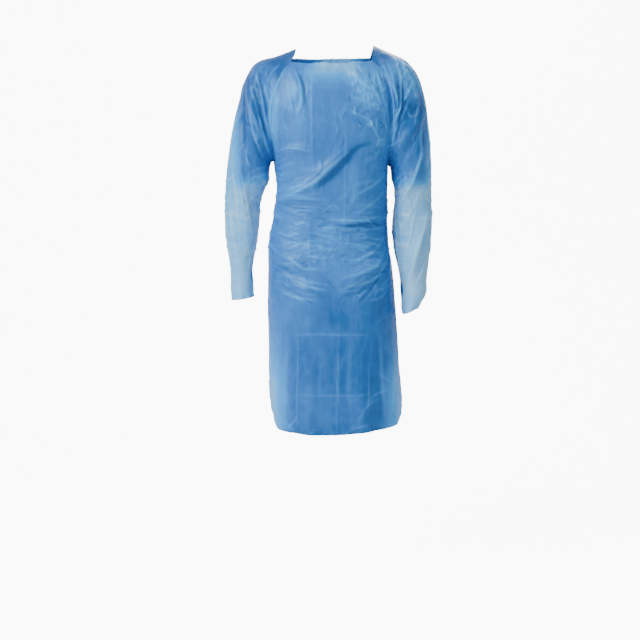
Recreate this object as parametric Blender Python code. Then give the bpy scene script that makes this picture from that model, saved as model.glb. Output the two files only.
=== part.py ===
"""Isolation gown of thin blue film, worn: pulled on over the head, open down the back.

Metres, +Z up. The front faces -Y. The origin lies between the shoulders, level with the top of
the neck opening, where the wearer carries the gown. "Left" and "right" are as seen from the front.

The cloth is worked out as one surface in five patches that share the points along their seams.
Folds move those points, and then each patch is given its wall and drawn back from its seams.
"""

import math

import bpy
import numpy as np

FILM = 0.0012  # wall
SEAM_GAP = 0.0003  # between neighbours
DRAW_BACK = 0.6 * SEAM_GAP  # of each border, a little over half for the seams that bend
SHARP_ANGLE = 40  # degrees
SEAM_ROWS = 10  # rows of points from neck to armpit, and columns round each half of an armhole
BODY_ROWS = 30  # rows from armpit to hem
FRONT_COLUMNS = 26
BACK_COLUMNS = 7
NECK_COLUMNS = 4  # over the shoulder, along the neck edge
RINGS_PER_SECTION = 2
SQUARENESS = 0.86  # under 1 makes the body's oval section boxier
SIDE_SEAM = 100.0  # degrees round from the middle of the front, so just behind the side
SIDE_SLIP = 0.2  # share of the way to the hem in which the side seam gets there
FRONT_HEM = -1.052
BACK_NECK_RISE = 0.020  # of the back seam above the front one, at the neck

# Raglan seams, neck to armpit. "along" is the share of the seam.
RAGLAN = (
    ("along", "left_x", "left_z", "right_x", "right_z", "front_y", "back_y"),
    (0.00, -0.117, -0.057, 0.097, -0.054, -0.072, 0.058),
    (0.14, -0.144, -0.089, 0.129, -0.087, -0.088, 0.078),
    (0.30, -0.164, -0.137, 0.142, -0.140, -0.097, 0.090),
    (0.49, -0.170, -0.195, 0.151, -0.202, -0.094, 0.090),
    (0.69, -0.170, -0.254, 0.150, -0.264, -0.072, 0.072),
    (0.85, -0.168, -0.293, 0.145, -0.307, -0.036, 0.038),
    (1.00, -0.166, -0.317, 0.144, -0.330, 0.000, 0.000),
)
NECK_TOP_LEFT = (-0.105, -0.015)  # x and z where the neck edge crosses the shoulder
NECK_TOP_RIGHT = (0.104, -0.007)

# Body sections. Above the armpit the raglan seams give the sides.
BODY = (
    ("z", "left_x", "right_x", "front_y", "back_y"),
    (-0.020, -0.150, 0.130, -0.078, 0.066),
    (-0.047, -0.150, 0.130, -0.086, 0.078),
    (-0.090, -0.160, 0.140, -0.104, 0.097),
    (-0.140, -0.168, 0.150, -0.119, 0.109),
    (-0.240, -0.170, 0.150, -0.129, 0.117),
    (-0.323, -0.167, 0.145, -0.128, 0.112),
    (-0.393, -0.160, 0.144, -0.123, 0.104),
    (-0.437, -0.165, 0.145, -0.120, 0.097),
    (-0.487, -0.171, 0.144, -0.119, 0.096),
    (-0.550, -0.182, 0.147, -0.126, 0.106),
    (-0.605, -0.183, 0.157, -0.133, 0.117),
    (-0.701, -0.185, 0.167, -0.141, 0.126),
    (-0.767, -0.184, 0.173, -0.143, 0.128),
    (-0.866, -0.183, 0.179, -0.145, 0.128),
    (-0.976, -0.182, 0.188, -0.149, 0.126),
    (-1.080, -0.180, 0.188, -0.151, 0.124),
)

# Height of the hem above its lowest on each side, by the turn in degrees from the middle of the
# front. The foot of the gown is cut away in a large round corner on each side.
HEM = (
    ("turn", "left", "right"),
    (0.0, 0.001, 0.001),
    (12.0, 0.000, 0.004),
    (32.0, 0.002, 0.010),
    (48.0, 0.005, 0.014),
    (60.0, 0.014, 0.020),
    (67.0, 0.033, 0.028),
    (76.0, 0.065, 0.047),
    (90.0, 0.112, 0.092),
    (110.0, 0.180, 0.170),
    (130.0, 0.250, 0.246),
    (145.0, 0.310, 0.308),
)

# Free edge of each back half. "down" is 0 at the neck, 1 at the armpit and 2 at the hem.
BACK_EDGE = (
    ("down", "turn"),
    (0.00, 180.0),
    (0.30, 180.0),
    (0.45, 178.0),
    (1.00, 174.5),
    (1.35, 173.0),
    (1.65, 166.0),
    (1.85, 156.0),
    (2.00, 145.0),
)
SEALED_BACK_ROWS = 3

# Sleeve sections below the raglan seam. "bow" pushes the front and back of a section sideways.
SLEEVE_COLUMNS = (
    "outer_x", "outer_z", "inner_x", "inner_z", "middle_y", "front", "back", "bow",
)
LEFT_SLEEVE = (
    SLEEVE_COLUMNS,
    (-0.160, -0.035, -0.173, -0.320, 0.000, 0.093, 0.088, -0.030),
    (-0.209, -0.051, -0.177, -0.329, 0.001, 0.091, 0.087, -0.022),
    (-0.243, -0.096, -0.179, -0.341, 0.002, 0.087, 0.084, -0.012),
    (-0.265, -0.168, -0.180, -0.355, 0.004, 0.082, 0.080, -0.006),
    (-0.282, -0.245, -0.180, -0.369, 0.006, 0.076, 0.075, -0.002),
    (-0.293, -0.318, -0.190, -0.392, 0.007, 0.068, 0.070, 0.000),
    (-0.301, -0.385, -0.203, -0.428, 0.006, 0.062, 0.064, 0.000),
    (-0.303, -0.440, -0.207, -0.468, 0.002, 0.057, 0.059, 0.000),
    (-0.301, -0.498, -0.212, -0.512, -0.005, 0.052, 0.053, 0.000),
    (-0.297, -0.547, -0.217, -0.551, -0.013, 0.046, 0.046, 0.000),
    (-0.291, -0.588, -0.223, -0.586, -0.020, 0.040, 0.040, 0.000),
    (-0.287, -0.622, -0.226, -0.616, -0.026, 0.038, 0.037, 0.000),
    (-0.286, -0.656, -0.223, -0.648, -0.031, 0.040, 0.038, 0.000),
    (-0.283, -0.696, -0.221, -0.686, -0.036, 0.041, 0.038, 0.000),
)
RIGHT_SLEEVE = (
    SLEEVE_COLUMNS,
    (0.152, -0.027, 0.150, -0.333, 0.000, 0.093, 0.088, 0.024),
    (0.192, -0.048, 0.153, -0.342, 0.001, 0.091, 0.087, 0.017),
    (0.225, -0.088, 0.154, -0.353, 0.002, 0.087, 0.084, 0.010),
    (0.245, -0.152, 0.155, -0.364, 0.004, 0.082, 0.080, 0.005),
    (0.258, -0.235, 0.159, -0.378, 0.006, 0.077, 0.076, 0.002),
    (0.264, -0.310, 0.163, -0.400, 0.007, 0.071, 0.072, 0.000),
    (0.266, -0.380, 0.163, -0.435, 0.005, 0.066, 0.067, 0.000),
    (0.266, -0.440, 0.160, -0.478, 0.001, 0.062, 0.063, 0.000),
    (0.266, -0.497, 0.160, -0.522, -0.006, 0.058, 0.058, 0.000),
    (0.263, -0.550, 0.164, -0.564, -0.015, 0.053, 0.052, 0.000),
    (0.257, -0.600, 0.172, -0.606, -0.025, 0.047, 0.045, 0.000),
    (0.251, -0.642, 0.178, -0.645, -0.034, 0.042, 0.040, 0.000),
    (0.249, -0.677, 0.181, -0.688, -0.042, 0.041, 0.038, 0.000),
    (0.226, -0.716, 0.184, -0.733, -0.049, 0.039, 0.036, 0.000),
)
NECK_CORNER_TURN = 30.0  # degrees from the top of a sleeve section to the first raglan column
THUMB_COLUMNS = (8, 9)
THUMB_RINGS = (-4, -3)  # cells, counted from the cuff

# Main folds, as seen from the front or from the back: a stroke from one end to the other, its half
# width and its height (below 0 for a trough).
FOLDS = (
    ("side", "start_x", "start_z", "end_x", "end_z", "width", "height"),
    ("front", 0.030, -0.294, -0.066, -0.380, 0.016, 0.011),
    ("front", -0.066, -0.380, -0.154, -0.418, 0.015, 0.009),
    ("front", -0.162, -0.294, -0.074, -0.290, 0.014, 0.007),
    ("front", -0.162, -0.424, -0.096, -0.391, 0.012, -0.007),
    ("front", -0.162, -0.430, -0.019, -0.440, 0.012, -0.007),
    ("front", 0.000, -0.485, 0.113, -0.476, 0.013, 0.009),
    ("front", 0.100, -0.500, 0.144, -0.470, 0.012, -0.007),
    ("front", -0.130, -0.535, 0.020, -0.531, 0.013, -0.005),
    ("front", -0.137, -0.583, -0.030, -0.618, 0.014, 0.008),
    ("front", -0.107, -0.652, -0.025, -0.674, 0.014, 0.008),
    ("front", 0.025, -0.644, 0.143, -0.575, 0.015, 0.009),
    ("front", 0.030, -0.690, 0.146, -0.620, 0.015, -0.007),
    ("front", -0.115, -0.069, -0.096, -0.165, 0.016, 0.005),
    ("front", 0.041, -0.069, 0.128, -0.170, 0.016, 0.007),
    ("front", 0.150, -0.860, 0.160, -1.060, 0.016, 0.008),
    ("front", -0.150, -0.900, -0.146, -1.060, 0.017, 0.007),
    ("front", -0.060, -0.880, -0.072, -1.080, 0.020, 0.007),
    ("front", 0.070, -0.900, 0.080, -1.080, 0.020, 0.007),
    ("front", -0.216, -0.060, -0.188, -0.160, 0.014, 0.009),
    ("front", -0.232, -0.125, -0.190, -0.290, 0.014, 0.011),
    ("front", -0.250, -0.130, -0.252, -0.280, 0.013, -0.008),
    ("front", -0.262, -0.330, -0.232, -0.560, 0.013, 0.009),
    ("front", 0.150, -0.060, 0.160, -0.200, 0.014, 0.008),
    ("front", 0.235, -0.190, 0.160, -0.300, 0.014, 0.011),
    ("front", 0.232, -0.320, 0.176, -0.440, 0.014, 0.011),
    ("front", 0.252, -0.460, 0.200, -0.640, 0.014, 0.011),
    ("back", -0.140, -0.090, -0.160, -0.230, 0.016, 0.008),
    ("back", 0.130, -0.090, 0.150, -0.230, 0.016, 0.008),
    ("back", -0.040, -0.170, -0.120, -0.320, 0.017, 0.008),
    ("back", 0.030, -0.180, 0.110, -0.310, 0.017, 0.008),
    ("back", -0.030, -0.430, -0.130, -0.370, 0.015, 0.008),
    ("back", 0.020, -0.430, 0.115, -0.375, 0.015, 0.008),
    ("back", -0.035, -0.480, -0.140, -0.560, 0.015, 0.008),
    ("back", 0.020, -0.480, 0.120, -0.570, 0.015, 0.008),
    ("back", -0.120, -0.640, -0.130, -0.820, 0.018, 0.008),
    ("back", 0.110, -0.630, 0.125, -0.840, 0.018, 0.008),
    ("back", -0.225, -0.110, -0.200, -0.280, 0.015, 0.009),
    ("back", 0.215, -0.130, 0.190, -0.290, 0.015, 0.009),
    ("back", -0.270, -0.330, -0.240, -0.560, 0.014, 0.009),
    ("back", 0.240, -0.340, 0.205, -0.600, 0.014, 0.009),
)

FOLD_ENDS = 0.35  # height of a fold at its ends, as a share of its middle
FOLD_FADE = 2.5  # how fast a fold fades where the cloth turns away from its side
ARMPIT_CALM = 0.075  # radius round each armpit in which the folds die away

# Waist ties: strips on the back halves, a knot between their free edges, and two ends.
TIE_Z = -0.455
TIE_WIDTH = 0.020
TIE_THICKNESS = 0.0016
TIE_ROWS = 3
TIE_SEAT = 0.0005  # clear of the cloth under it
KNOT_SIZE = (0.026, 0.016, 0.026)
KNOT_ROUNDING = 0.42  # of its depth
KNOT_SEGMENTS = 3
END_LENGTHS = (0.265, 0.230)
END_TILTS = (-0.10, 0.07)  # sideways for each metre down
END_APART = 0.0068  # of each end from the middle of the knot
END_WIDTH = 0.0124
END_PINCH = 0.55  # width at the knot, as a share
END_WIDENS = 0.05  # length in which an end gets its full width
END_WAVE = 0.006
END_WAVES = 24  # radians for each metre down
END_WAVE_GROWS = 0.04  # length in which the wave gets its full depth
END_COLUMNS = 14

FILM_BLUE = (0.115, 0.300, 0.560, 1.0)
TIE_BLUE = (0.150, 0.350, 0.600, 1.0)
FILM_ROUGHNESS = 0.38


def columns(table):
    """A table as arrays by column name."""
    return dict(zip(table[0], np.array(table[1:], dtype=float).T))


def smooth(at, rows, values):
    """Value at `at` on the smooth curve through `values`, one for each of the rising `rows`."""
    slopes = np.gradient(values, rows, axis=0)
    at = np.clip(at, rows[0], rows[-1])
    low = np.clip(np.searchsorted(rows, at) - 1, 0, len(rows) - 2)
    step = rows[low + 1] - rows[low]
    t = (at - rows[low]) / step
    near = values[low] * (1 + 2 * t) * (1 - t) ** 2 + slopes[low] * step * t * (1 - t) ** 2
    far = values[low + 1] * t**2 * (3 - 2 * t) - slopes[low + 1] * step * t**2 * (1 - t)
    return near + far


RAGLAN_AT = columns(RAGLAN)
BODY_AT = {name: values[::-1] for name, values in columns(BODY).items()}  # z rising
HEM_AT = columns(HEM)
BACK_EDGE_AT = columns(BACK_EDGE)


def body(z, name):
    return smooth(z, BODY_AT["z"], BODY_AT[name])


def raglan(along, name):
    return smooth(along, RAGLAN_AT["along"], RAGLAN_AT[name])


def power(value):
    """Signed power that squares off the body's oval."""
    return math.copysign(abs(value) ** SQUARENESS, value)


def seam_point(side, face, along):
    """Point on a raglan seam: side is left or right, face is front or back."""
    x = raglan(along, side + "_x")
    z = raglan(along, side + "_z")
    if face == "back":
        z += BACK_NECK_RISE * (1 - along) ** 2
    return np.array([x, raglan(along, face + "_y"), z])


def yoke_row(face, along, turns):
    """A row of the front or back above the armpits, between the two raglan seams.

    turns run from -1 at the left seam to 1 at the right one, with 0 at the middle.
    """
    left = seam_point("left", face, along)
    right = seam_point("right", face, along)
    middle_z = (left[2] + right[2]) / 2
    depth = abs(body(middle_z, face + "_y"))
    widest = math.acos((abs(left[1]) / depth) ** (1 / SQUARENESS))
    centre = (left[0] + right[0]) / 2
    half = (right[0] - left[0]) / 2 / power(math.sin(widest))
    facing = math.copysign(1, body(middle_z, face + "_y"))
    points = []
    for turn in turns:
        across = power(math.sin(widest * turn))
        x = centre + half * across
        y = facing * depth * power(math.cos(widest * turn))
        share = (x - left[0]) / (right[0] - left[0])
        points.append((x, y, left[2] + share * (right[2] - left[2])))
    return points


def skirt_point(turn, down):
    """Point of the body below the armpits: turn in degrees from the middle of the front, + right."""
    angle = math.radians(turn)
    share = (1 + math.sin(angle)) / 2
    armpit = RAGLAN_AT["left_z"][-1] * (1 - share) + RAGLAN_AT["right_z"][-1] * share
    hem = FRONT_HEM + smooth(abs(turn), HEM_AT["turn"], HEM_AT["left" if turn < 0 else "right"])
    z = armpit + (hem - armpit) * down
    left = body(z, "left_x")
    right = body(z, "right_x")
    x = (left + right) / 2 + (right - left) / 2 * power(math.sin(angle))
    depth = body(z, "front_y") if math.cos(angle) > 0 else -body(z, "back_y")
    return (x, depth * power(math.cos(angle)), z)


def side_turn(down):
    """Turn of the side seam, which starts at the armpit and slips behind the side below it."""
    return 90.0 + (SIDE_SEAM - 90.0) * min(1.0, down / SIDE_SLIP)


def front_grid():
    turns = np.linspace(-1, 1, FRONT_COLUMNS + 1)
    rows = [yoke_row("front", r / SEAM_ROWS, turns) for r in range(SEAM_ROWS + 1)]
    for row in range(1, BODY_ROWS + 1):
        down = row / BODY_ROWS
        rows.append([skirt_point(side_turn(down) * turn, down) for turn in turns])
    return np.array(rows)


def back_grid(sign):
    """A back half, from its side edge to its free edge. sign is -1 for the left one."""
    shares = np.linspace(0, 1, BACK_COLUMNS + 1)
    rows = []
    for row in range(SEAM_ROWS + 1):
        along = row / SEAM_ROWS
        edge = smooth(along, BACK_EDGE_AT["down"], BACK_EDGE_AT["turn"])
        free = 0.0 if row <= SEALED_BACK_ROWS else (180 - edge) / 90
        rows.append(yoke_row("back", along, sign * (1 - shares * (1 - free))))
    for row in range(1, BODY_ROWS + 1):
        down = row / BODY_ROWS
        edge = smooth(1 + down, BACK_EDGE_AT["down"], BACK_EDGE_AT["turn"])
        side = side_turn(down)
        rows.append([skirt_point(sign * (side + (edge - side) * s), down) for s in shares])
    return np.array(rows)


def armhole_ring(side, top):
    """First ring of a sleeve: down the front seam, up the back one and over the neck edge."""
    ring = [seam_point(side, "front", j / SEAM_ROWS) for j in range(SEAM_ROWS + 1)]
    ring += [seam_point(side, "back", 1 - j / SEAM_ROWS) for j in range(1, SEAM_ROWS + 1)]
    crown = np.array([top[0], 0.0, top[1]])
    for j in range(1, NECK_COLUMNS):
        u = 1 - 2 * j / NECK_COLUMNS
        corner = ring[2 * SEAM_ROWS] if u > 0 else ring[0]
        point = crown + (corner - crown) * u**2
        point[1] = corner[1] * abs(u)
        ring.append(point)
    return np.array(ring)


def sleeve_ring(row):
    """A closed section with the columns of the armhole ring."""
    count = 2 * SEAM_ROWS + NECK_COLUMNS
    outer = np.array([row["outer_x"], row["middle_y"], row["outer_z"]])
    inner = np.array([row["inner_x"], row["middle_y"], row["inner_z"]])
    points = []
    for j in range(count):
        angle = math.radians(NECK_CORNER_TURN + j * 360 / count)
        point = (outer + inner) / 2 + (outer - inner) / 2 * math.cos(angle)
        reach = row["front"] if math.sin(angle) > 0 else row["back"]
        point[0] += row["bow"] * math.sin(angle) ** 2
        point[1] -= reach * math.sin(angle)
        points.append(point)
    return np.array(points)


def sleeve_grid(side, top, table):
    rings = [armhole_ring(side, top)]
    rings += [sleeve_ring(dict(zip(table[0], row))) for row in table[1:]]
    sections = np.arange(len(rings), dtype=float)
    fine = np.arange((len(rings) - 1) * RINGS_PER_SECTION + 1) / RINGS_PER_SECTION
    return np.array([smooth(at, sections, np.array(rings)) for at in fine])


def quads(grid, closed, missing=()):
    """Faces of a grid, by index, turned to face out of the garment."""
    rows, across = grid.shape[:2]
    faces = []
    for row in range(rows - 1):
        for column in range(across if closed else across - 1):
            if (row, column) in missing:
                continue
            after = (column + 1) % across
            corners = (row * across + column, (row + 1) * across + column)
            faces.append((*corners, (row + 1) * across + after, row * across + after))
    return faces


class Patch:
    """One piece of the gown: its points, its faces and whether it is turned to face out."""

    def __init__(self, name, grid, closed=False, missing=(), flipped=False):
        self.name = name
        self.across = grid.shape[1]
        self.points = grid.reshape(-1, 3).copy()
        self.faces = quads(grid, closed, missing)
        if flipped:
            self.faces = [face[::-1] for face in self.faces]


def weld(patches):
    """For each patch, the index of each point in one list where seam points are shared."""
    found = {}
    links = []
    for patch in patches:
        keys = [tuple(key) for key in np.round(patch.points * 1e6).astype(int)]
        links.append(np.array([found.setdefault(key, len(found)) for key in keys]))
    return links, len(found)


def set_normals(patches):
    """Outward normals that neighbours share along their seams."""
    links, count = weld(patches)
    total = np.zeros((count, 3))
    for patch, link in zip(patches, links):
        for face in patch.faces:
            a, b, c, d = patch.points[list(face)]
            np.add.at(total, link[list(face)], np.cross(c - a, d - b))
    total /= np.maximum(np.linalg.norm(total, axis=1), 1e-12)[:, None]
    for patch, link in zip(patches, links):
        patch.normals = total[link]


def fold_height(points, facing):
    """How far the folds lift each point, where facing is its normal's Y."""
    lift = np.zeros(len(points))
    flat = points[:, [0, 2]]
    for side, start_x, start_z, end_x, end_z, width, height in FOLDS[1:]:
        start = np.array([start_x, start_z])
        run = np.array([end_x, end_z]) - start
        along = np.clip((flat - start) @ run / (run @ run), 0, 1)
        away = np.linalg.norm(flat - start - along[:, None] * run, axis=1)
        taper = FOLD_ENDS + (1 - FOLD_ENDS) * np.sin(math.pi * along)
        shown = np.clip((-facing if side == "front" else facing) * FOLD_FADE, 0, 1)
        lift += height * taper * np.exp(-((away / width) ** 2)) * shown
    for side in ("left", "right"):
        armpit = seam_point(side, "front", 1.0)
        near = np.linalg.norm(points - armpit, axis=1) / ARMPIT_CALM
        lift *= np.clip(near, 0, 1) ** 2
    return lift


def fold(patches):
    set_normals(patches)
    for patch in patches:
        lift = fold_height(patch.points, patch.normals[:, 1])
        patch.points += patch.normals * lift[:, None]
    set_normals(patches)


def border(faces):
    """Directed edges that only one face has."""
    edges = {(face[i - 1], face[i]) for face in faces for i in range(len(face))}
    return sorted(edge for edge in edges if edge[::-1] not in edges)


def draw_back(patch):
    """The patch's points, with its border moved in by half the seam gap."""
    points = patch.points.copy()
    inward = {}
    for a, b in border(patch.faces):
        edge = patch.points[b] - patch.points[a]
        for end in (a, b):
            away = np.cross(patch.normals[end], edge)
            inward[end] = inward.get(end, 0) + away / np.linalg.norm(away)
    for end, direction in inward.items():
        points[end] += direction / np.linalg.norm(direction) * DRAW_BACK
    return points


def material(name, colour):
    made = bpy.data.materials.new(name)
    made.use_nodes = True
    shader = made.node_tree.nodes["Principled BSDF"]
    shader.inputs["Base Color"].default_value = colour
    shader.inputs["Roughness"].default_value = FILM_ROUGHNESS
    shader.inputs["Metallic"].default_value = 0.0
    made.diffuse_color = colour
    return made


def add_object(name, points, faces, colour):
    mesh = bpy.data.meshes.new(name)
    mesh.from_pydata([tuple(point) for point in points], [], [tuple(face) for face in faces])
    mesh.materials.append(material(name + "_film", colour))
    mesh.shade_smooth()
    mesh.set_sharp_from_angle(angle=math.radians(SHARP_ANGLE))
    made = bpy.data.objects.new(name, mesh)
    bpy.context.collection.objects.link(made)
    return made


def add_wall(name, points, normals, faces, thickness, colour):
    """A closed wall centred on the given surface, its two sides split along the same diagonals."""
    used = sorted({corner for face in faces for corner in face})
    place = {corner: index for index, corner in enumerate(used)}
    half = normals[used] * thickness / 2
    both = np.concatenate([points[used] + half, points[used] - half])
    outer = []
    for face in faces:
        a, b, c, d = (place[corner] for corner in face)
        outer += [(a, b, c), (a, c, d)]
    count = len(used)
    inner = [tuple(corner + count for corner in face[::-1]) for face in outer]
    rims = []
    for a, b in border(outer):
        if tuple(both[a]) < tuple(both[b]):  # so that both rims of a seam split the same way
            rims += [(b, a, a + count), (b, a + count, b + count)]
        else:
            rims += [(b, a, b + count), (a, a + count, b + count)]
    return add_object(name, both, outer + inner + rims, colour)


def add_patches(patches):
    for patch in patches:
        add_wall(patch.name, draw_back(patch), patch.normals, patch.faces, FILM, FILM_BLUE)


def on_column(patch, column, z):
    """Point and normal where a column of a patch passes a height."""
    points = patch.points[column :: patch.across]
    normals = patch.normals[column :: patch.across]
    order = np.argsort(points[:, 2])
    point = [np.interp(z, points[order, 2], points[order, axis]) for axis in range(3)]
    normal = [np.interp(z, points[order, 2], normals[order, axis]) for axis in range(3)]
    return np.array(point), np.array(normal) / np.linalg.norm(normal)


def tie_point(patch, column, z):
    """Point of a tie's middle surface over a back half, and the normal there."""
    point, normal = on_column(patch, column, z)
    return point + normal * (FILM / 2 + TIE_SEAT + TIE_THICKNESS / 2), normal


def add_tie(name, patch, sign, knot):
    """A strip that lies on a back half and runs on past its free edge to the knot."""
    points = []
    normals = []
    for z in np.linspace(TIE_Z + TIE_WIDTH / 2, TIE_Z - TIE_WIDTH / 2, TIE_ROWS + 1):
        for column in range(patch.across):
            point, normal = tie_point(patch, column, z)
            points.append(point)
            normals.append(normal)
        points.append(np.array([knot[0] + sign * (KNOT_SIZE[0] / 2 + SEAM_GAP), knot[1], z]))
        normals.append(np.array([0.0, 1.0, 0.0]))
    grid = np.array(points).reshape(TIE_ROWS + 1, patch.across + 1, 3)
    faces = quads(grid, False)
    if sign < 0:
        faces = [face[::-1] for face in faces]
    add_wall(name, np.array(points), np.array(normals), faces, TIE_THICKNESS, TIE_BLUE)


def add_knot(centre):
    bpy.ops.mesh.primitive_cube_add(size=1, location=centre)
    knot = bpy.context.object
    knot.name = "tie_knot"
    knot.data.name = "tie_knot"
    for vertex in knot.data.vertices:
        vertex.co = [vertex.co[axis] * KNOT_SIZE[axis] for axis in range(3)]
    bevel = knot.modifiers.new("round", "BEVEL")
    bevel.width = KNOT_SIZE[1] * KNOT_ROUNDING
    bevel.segments = KNOT_SEGMENTS
    knot.data.materials.append(material("tie_knot_film", TIE_BLUE))
    knot.data.shade_smooth()


def add_tie_end(name, centre, side, length, tilt):
    """A free end that hangs from the knot in a slow wave."""
    top = centre[2] - KNOT_SIZE[2] / 2 - TIE_SEAT
    rows = []
    for x_share in (-0.5, 0.5):
        row = []
        for step in range(END_COLUMNS + 1):
            drop = length * step / END_COLUMNS
            width = END_WIDTH * (END_PINCH + (1 - END_PINCH) * min(1.0, drop / END_WIDENS))
            wave = END_WAVE * min(1.0, drop / END_WAVE_GROWS)
            x = centre[0] + side * END_APART + tilt * drop + x_share * width
            y = centre[1] + wave * math.sin(drop * END_WAVES + side)
            row.append((x, y, top - drop))
        rows.append(row)
    grid = np.array(rows)
    normals = np.tile([0.0, 1.0, 0.0], (grid.shape[0] * grid.shape[1], 1))
    faces = quads(grid, False)
    add_wall(name, grid.reshape(-1, 3), normals, faces, TIE_THICKNESS, TIE_BLUE)


def clear_scene():
    for old in list(bpy.data.objects):
        bpy.data.objects.remove(old)


def main():
    clear_scene()
    left_sleeve = sleeve_grid("left", NECK_TOP_LEFT, LEFT_SLEEVE)
    right_sleeve = sleeve_grid("right", NECK_TOP_RIGHT, RIGHT_SLEEVE)
    rings = len(left_sleeve) - 1
    thumb = {(rings + ring, column) for ring in THUMB_RINGS for column in THUMB_COLUMNS}
    patches = [
        Patch("front_panel", front_grid()),
        Patch("back_left", back_grid(-1), flipped=True),
        Patch("back_right", back_grid(1)),
        Patch("sleeve_left", left_sleeve, closed=True, missing=thumb),
        Patch("sleeve_right", right_sleeve, closed=True, missing=thumb, flipped=True),
    ]
    fold(patches)
    add_patches(patches)
    backs = patches[1:3]
    knot = sum(tie_point(back, back.across - 1, TIE_Z)[0] for back in backs) / 2
    add_tie("tie_left", backs[0], -1, knot)
    add_tie("tie_right", backs[1], 1, knot)
    add_knot(knot)
    for name, side, length, tilt in zip(
        ("tie_end_left", "tie_end_right"), (-1, 1), END_LENGTHS, END_TILTS
    ):
        add_tie_end(name, knot, side, length, tilt)


main()
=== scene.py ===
"""Looks of an isolation gown of thin blue film, worn: pulled on over the head, open down the back.

Metres, +Z up, the front towards -Y, and "left" and "right" as seen from the front, as in the CAD
part. Each sheet of film is a thin closed shell on its CAD solid's form: the same tables read at a
finer pitch, with creases raised on them. The folds and creases are given in millimetres.
"""

import math

import bpy
import numpy as np
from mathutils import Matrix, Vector, kdtree, noise


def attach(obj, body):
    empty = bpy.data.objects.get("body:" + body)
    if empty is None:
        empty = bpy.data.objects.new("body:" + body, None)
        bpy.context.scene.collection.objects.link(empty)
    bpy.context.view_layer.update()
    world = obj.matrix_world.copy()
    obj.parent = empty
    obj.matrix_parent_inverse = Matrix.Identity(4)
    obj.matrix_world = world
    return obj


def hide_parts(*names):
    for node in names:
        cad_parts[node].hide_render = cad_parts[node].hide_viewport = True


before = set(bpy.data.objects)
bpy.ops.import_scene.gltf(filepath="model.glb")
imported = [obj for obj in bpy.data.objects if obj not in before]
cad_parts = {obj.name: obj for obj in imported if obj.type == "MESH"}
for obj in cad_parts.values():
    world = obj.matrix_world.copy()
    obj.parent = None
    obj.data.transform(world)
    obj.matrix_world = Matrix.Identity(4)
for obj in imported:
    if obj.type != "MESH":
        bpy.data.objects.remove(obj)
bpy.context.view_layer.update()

MM = 0.001

# ---- Form, as in the CAD part ----

SEAM_GAP = 0.00003  # narrower than in the CAD part, so that no light falls through the seams
SQUARENESS = 0.86  # power that squares off the body's oval
SIDE_SEAM = 100.0  # turn of the side seams, from the middle of the front
SIDE_SLIP = 0.2  # share of the way down from the armpits in which the seams reach it
FRONT_HEM = -1.052
BACK_NECK_RISE = 0.020  # of the back's neck edge over the front's
SEALED_BACK = 0.3  # share of the way to the armpits in which the back halves are sealed

RAGLAN = (
    ("along", "left_x", "left_z", "right_x", "right_z", "front_y", "back_y"),
    (0.00, -0.117, -0.057, 0.097, -0.054, -0.072, 0.058),
    (0.14, -0.144, -0.089, 0.129, -0.087, -0.088, 0.078),
    (0.30, -0.164, -0.137, 0.142, -0.140, -0.097, 0.090),
    (0.49, -0.170, -0.195, 0.151, -0.202, -0.094, 0.090),
    (0.69, -0.170, -0.254, 0.150, -0.264, -0.072, 0.072),
    (0.85, -0.168, -0.293, 0.145, -0.307, -0.036, 0.038),
    (1.00, -0.166, -0.317, 0.144, -0.330, 0.000, 0.000),
)
NECK_TOP_LEFT = (-0.105, -0.015)
NECK_TOP_RIGHT = (0.104, -0.007)

BODY = (
    ("z", "left_x", "right_x", "front_y", "back_y"),
    (-0.020, -0.150, 0.130, -0.078, 0.066),
    (-0.047, -0.150, 0.130, -0.086, 0.078),
    (-0.090, -0.160, 0.140, -0.104, 0.097),
    (-0.140, -0.168, 0.150, -0.119, 0.109),
    (-0.240, -0.170, 0.150, -0.129, 0.117),
    (-0.323, -0.167, 0.145, -0.128, 0.112),
    (-0.393, -0.160, 0.144, -0.123, 0.104),
    (-0.437, -0.165, 0.145, -0.120, 0.097),
    (-0.487, -0.171, 0.144, -0.119, 0.096),
    (-0.550, -0.182, 0.147, -0.126, 0.106),
    (-0.605, -0.183, 0.157, -0.133, 0.117),
    (-0.701, -0.185, 0.167, -0.141, 0.126),
    (-0.767, -0.184, 0.173, -0.143, 0.128),
    (-0.866, -0.183, 0.179, -0.145, 0.128),
    (-0.976, -0.182, 0.188, -0.149, 0.126),
    (-1.080, -0.180, 0.188, -0.151, 0.124),
)
HEM = (
    ("turn", "left", "right"),
    (0.0, 0.001, 0.001),
    (12.0, 0.000, 0.004),
    (32.0, 0.002, 0.010),
    (48.0, 0.005, 0.014),
    (60.0, 0.014, 0.020),
    (67.0, 0.033, 0.028),
    (76.0, 0.065, 0.047),
    (90.0, 0.112, 0.092),
    (110.0, 0.180, 0.170),
    (130.0, 0.250, 0.246),
    (145.0, 0.310, 0.308),
)
BACK_EDGE = (
    ("down", "turn"),
    (0.00, 180.0),
    (0.30, 180.0),
    (0.45, 178.0),
    (1.00, 174.5),
    (1.35, 173.0),
    (1.65, 166.0),
    (1.85, 156.0),
    (2.00, 145.0),
)
SLEEVE_COLUMNS = (
    "outer_x", "outer_z", "inner_x", "inner_z", "middle_y", "front", "back", "bow",
)
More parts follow.
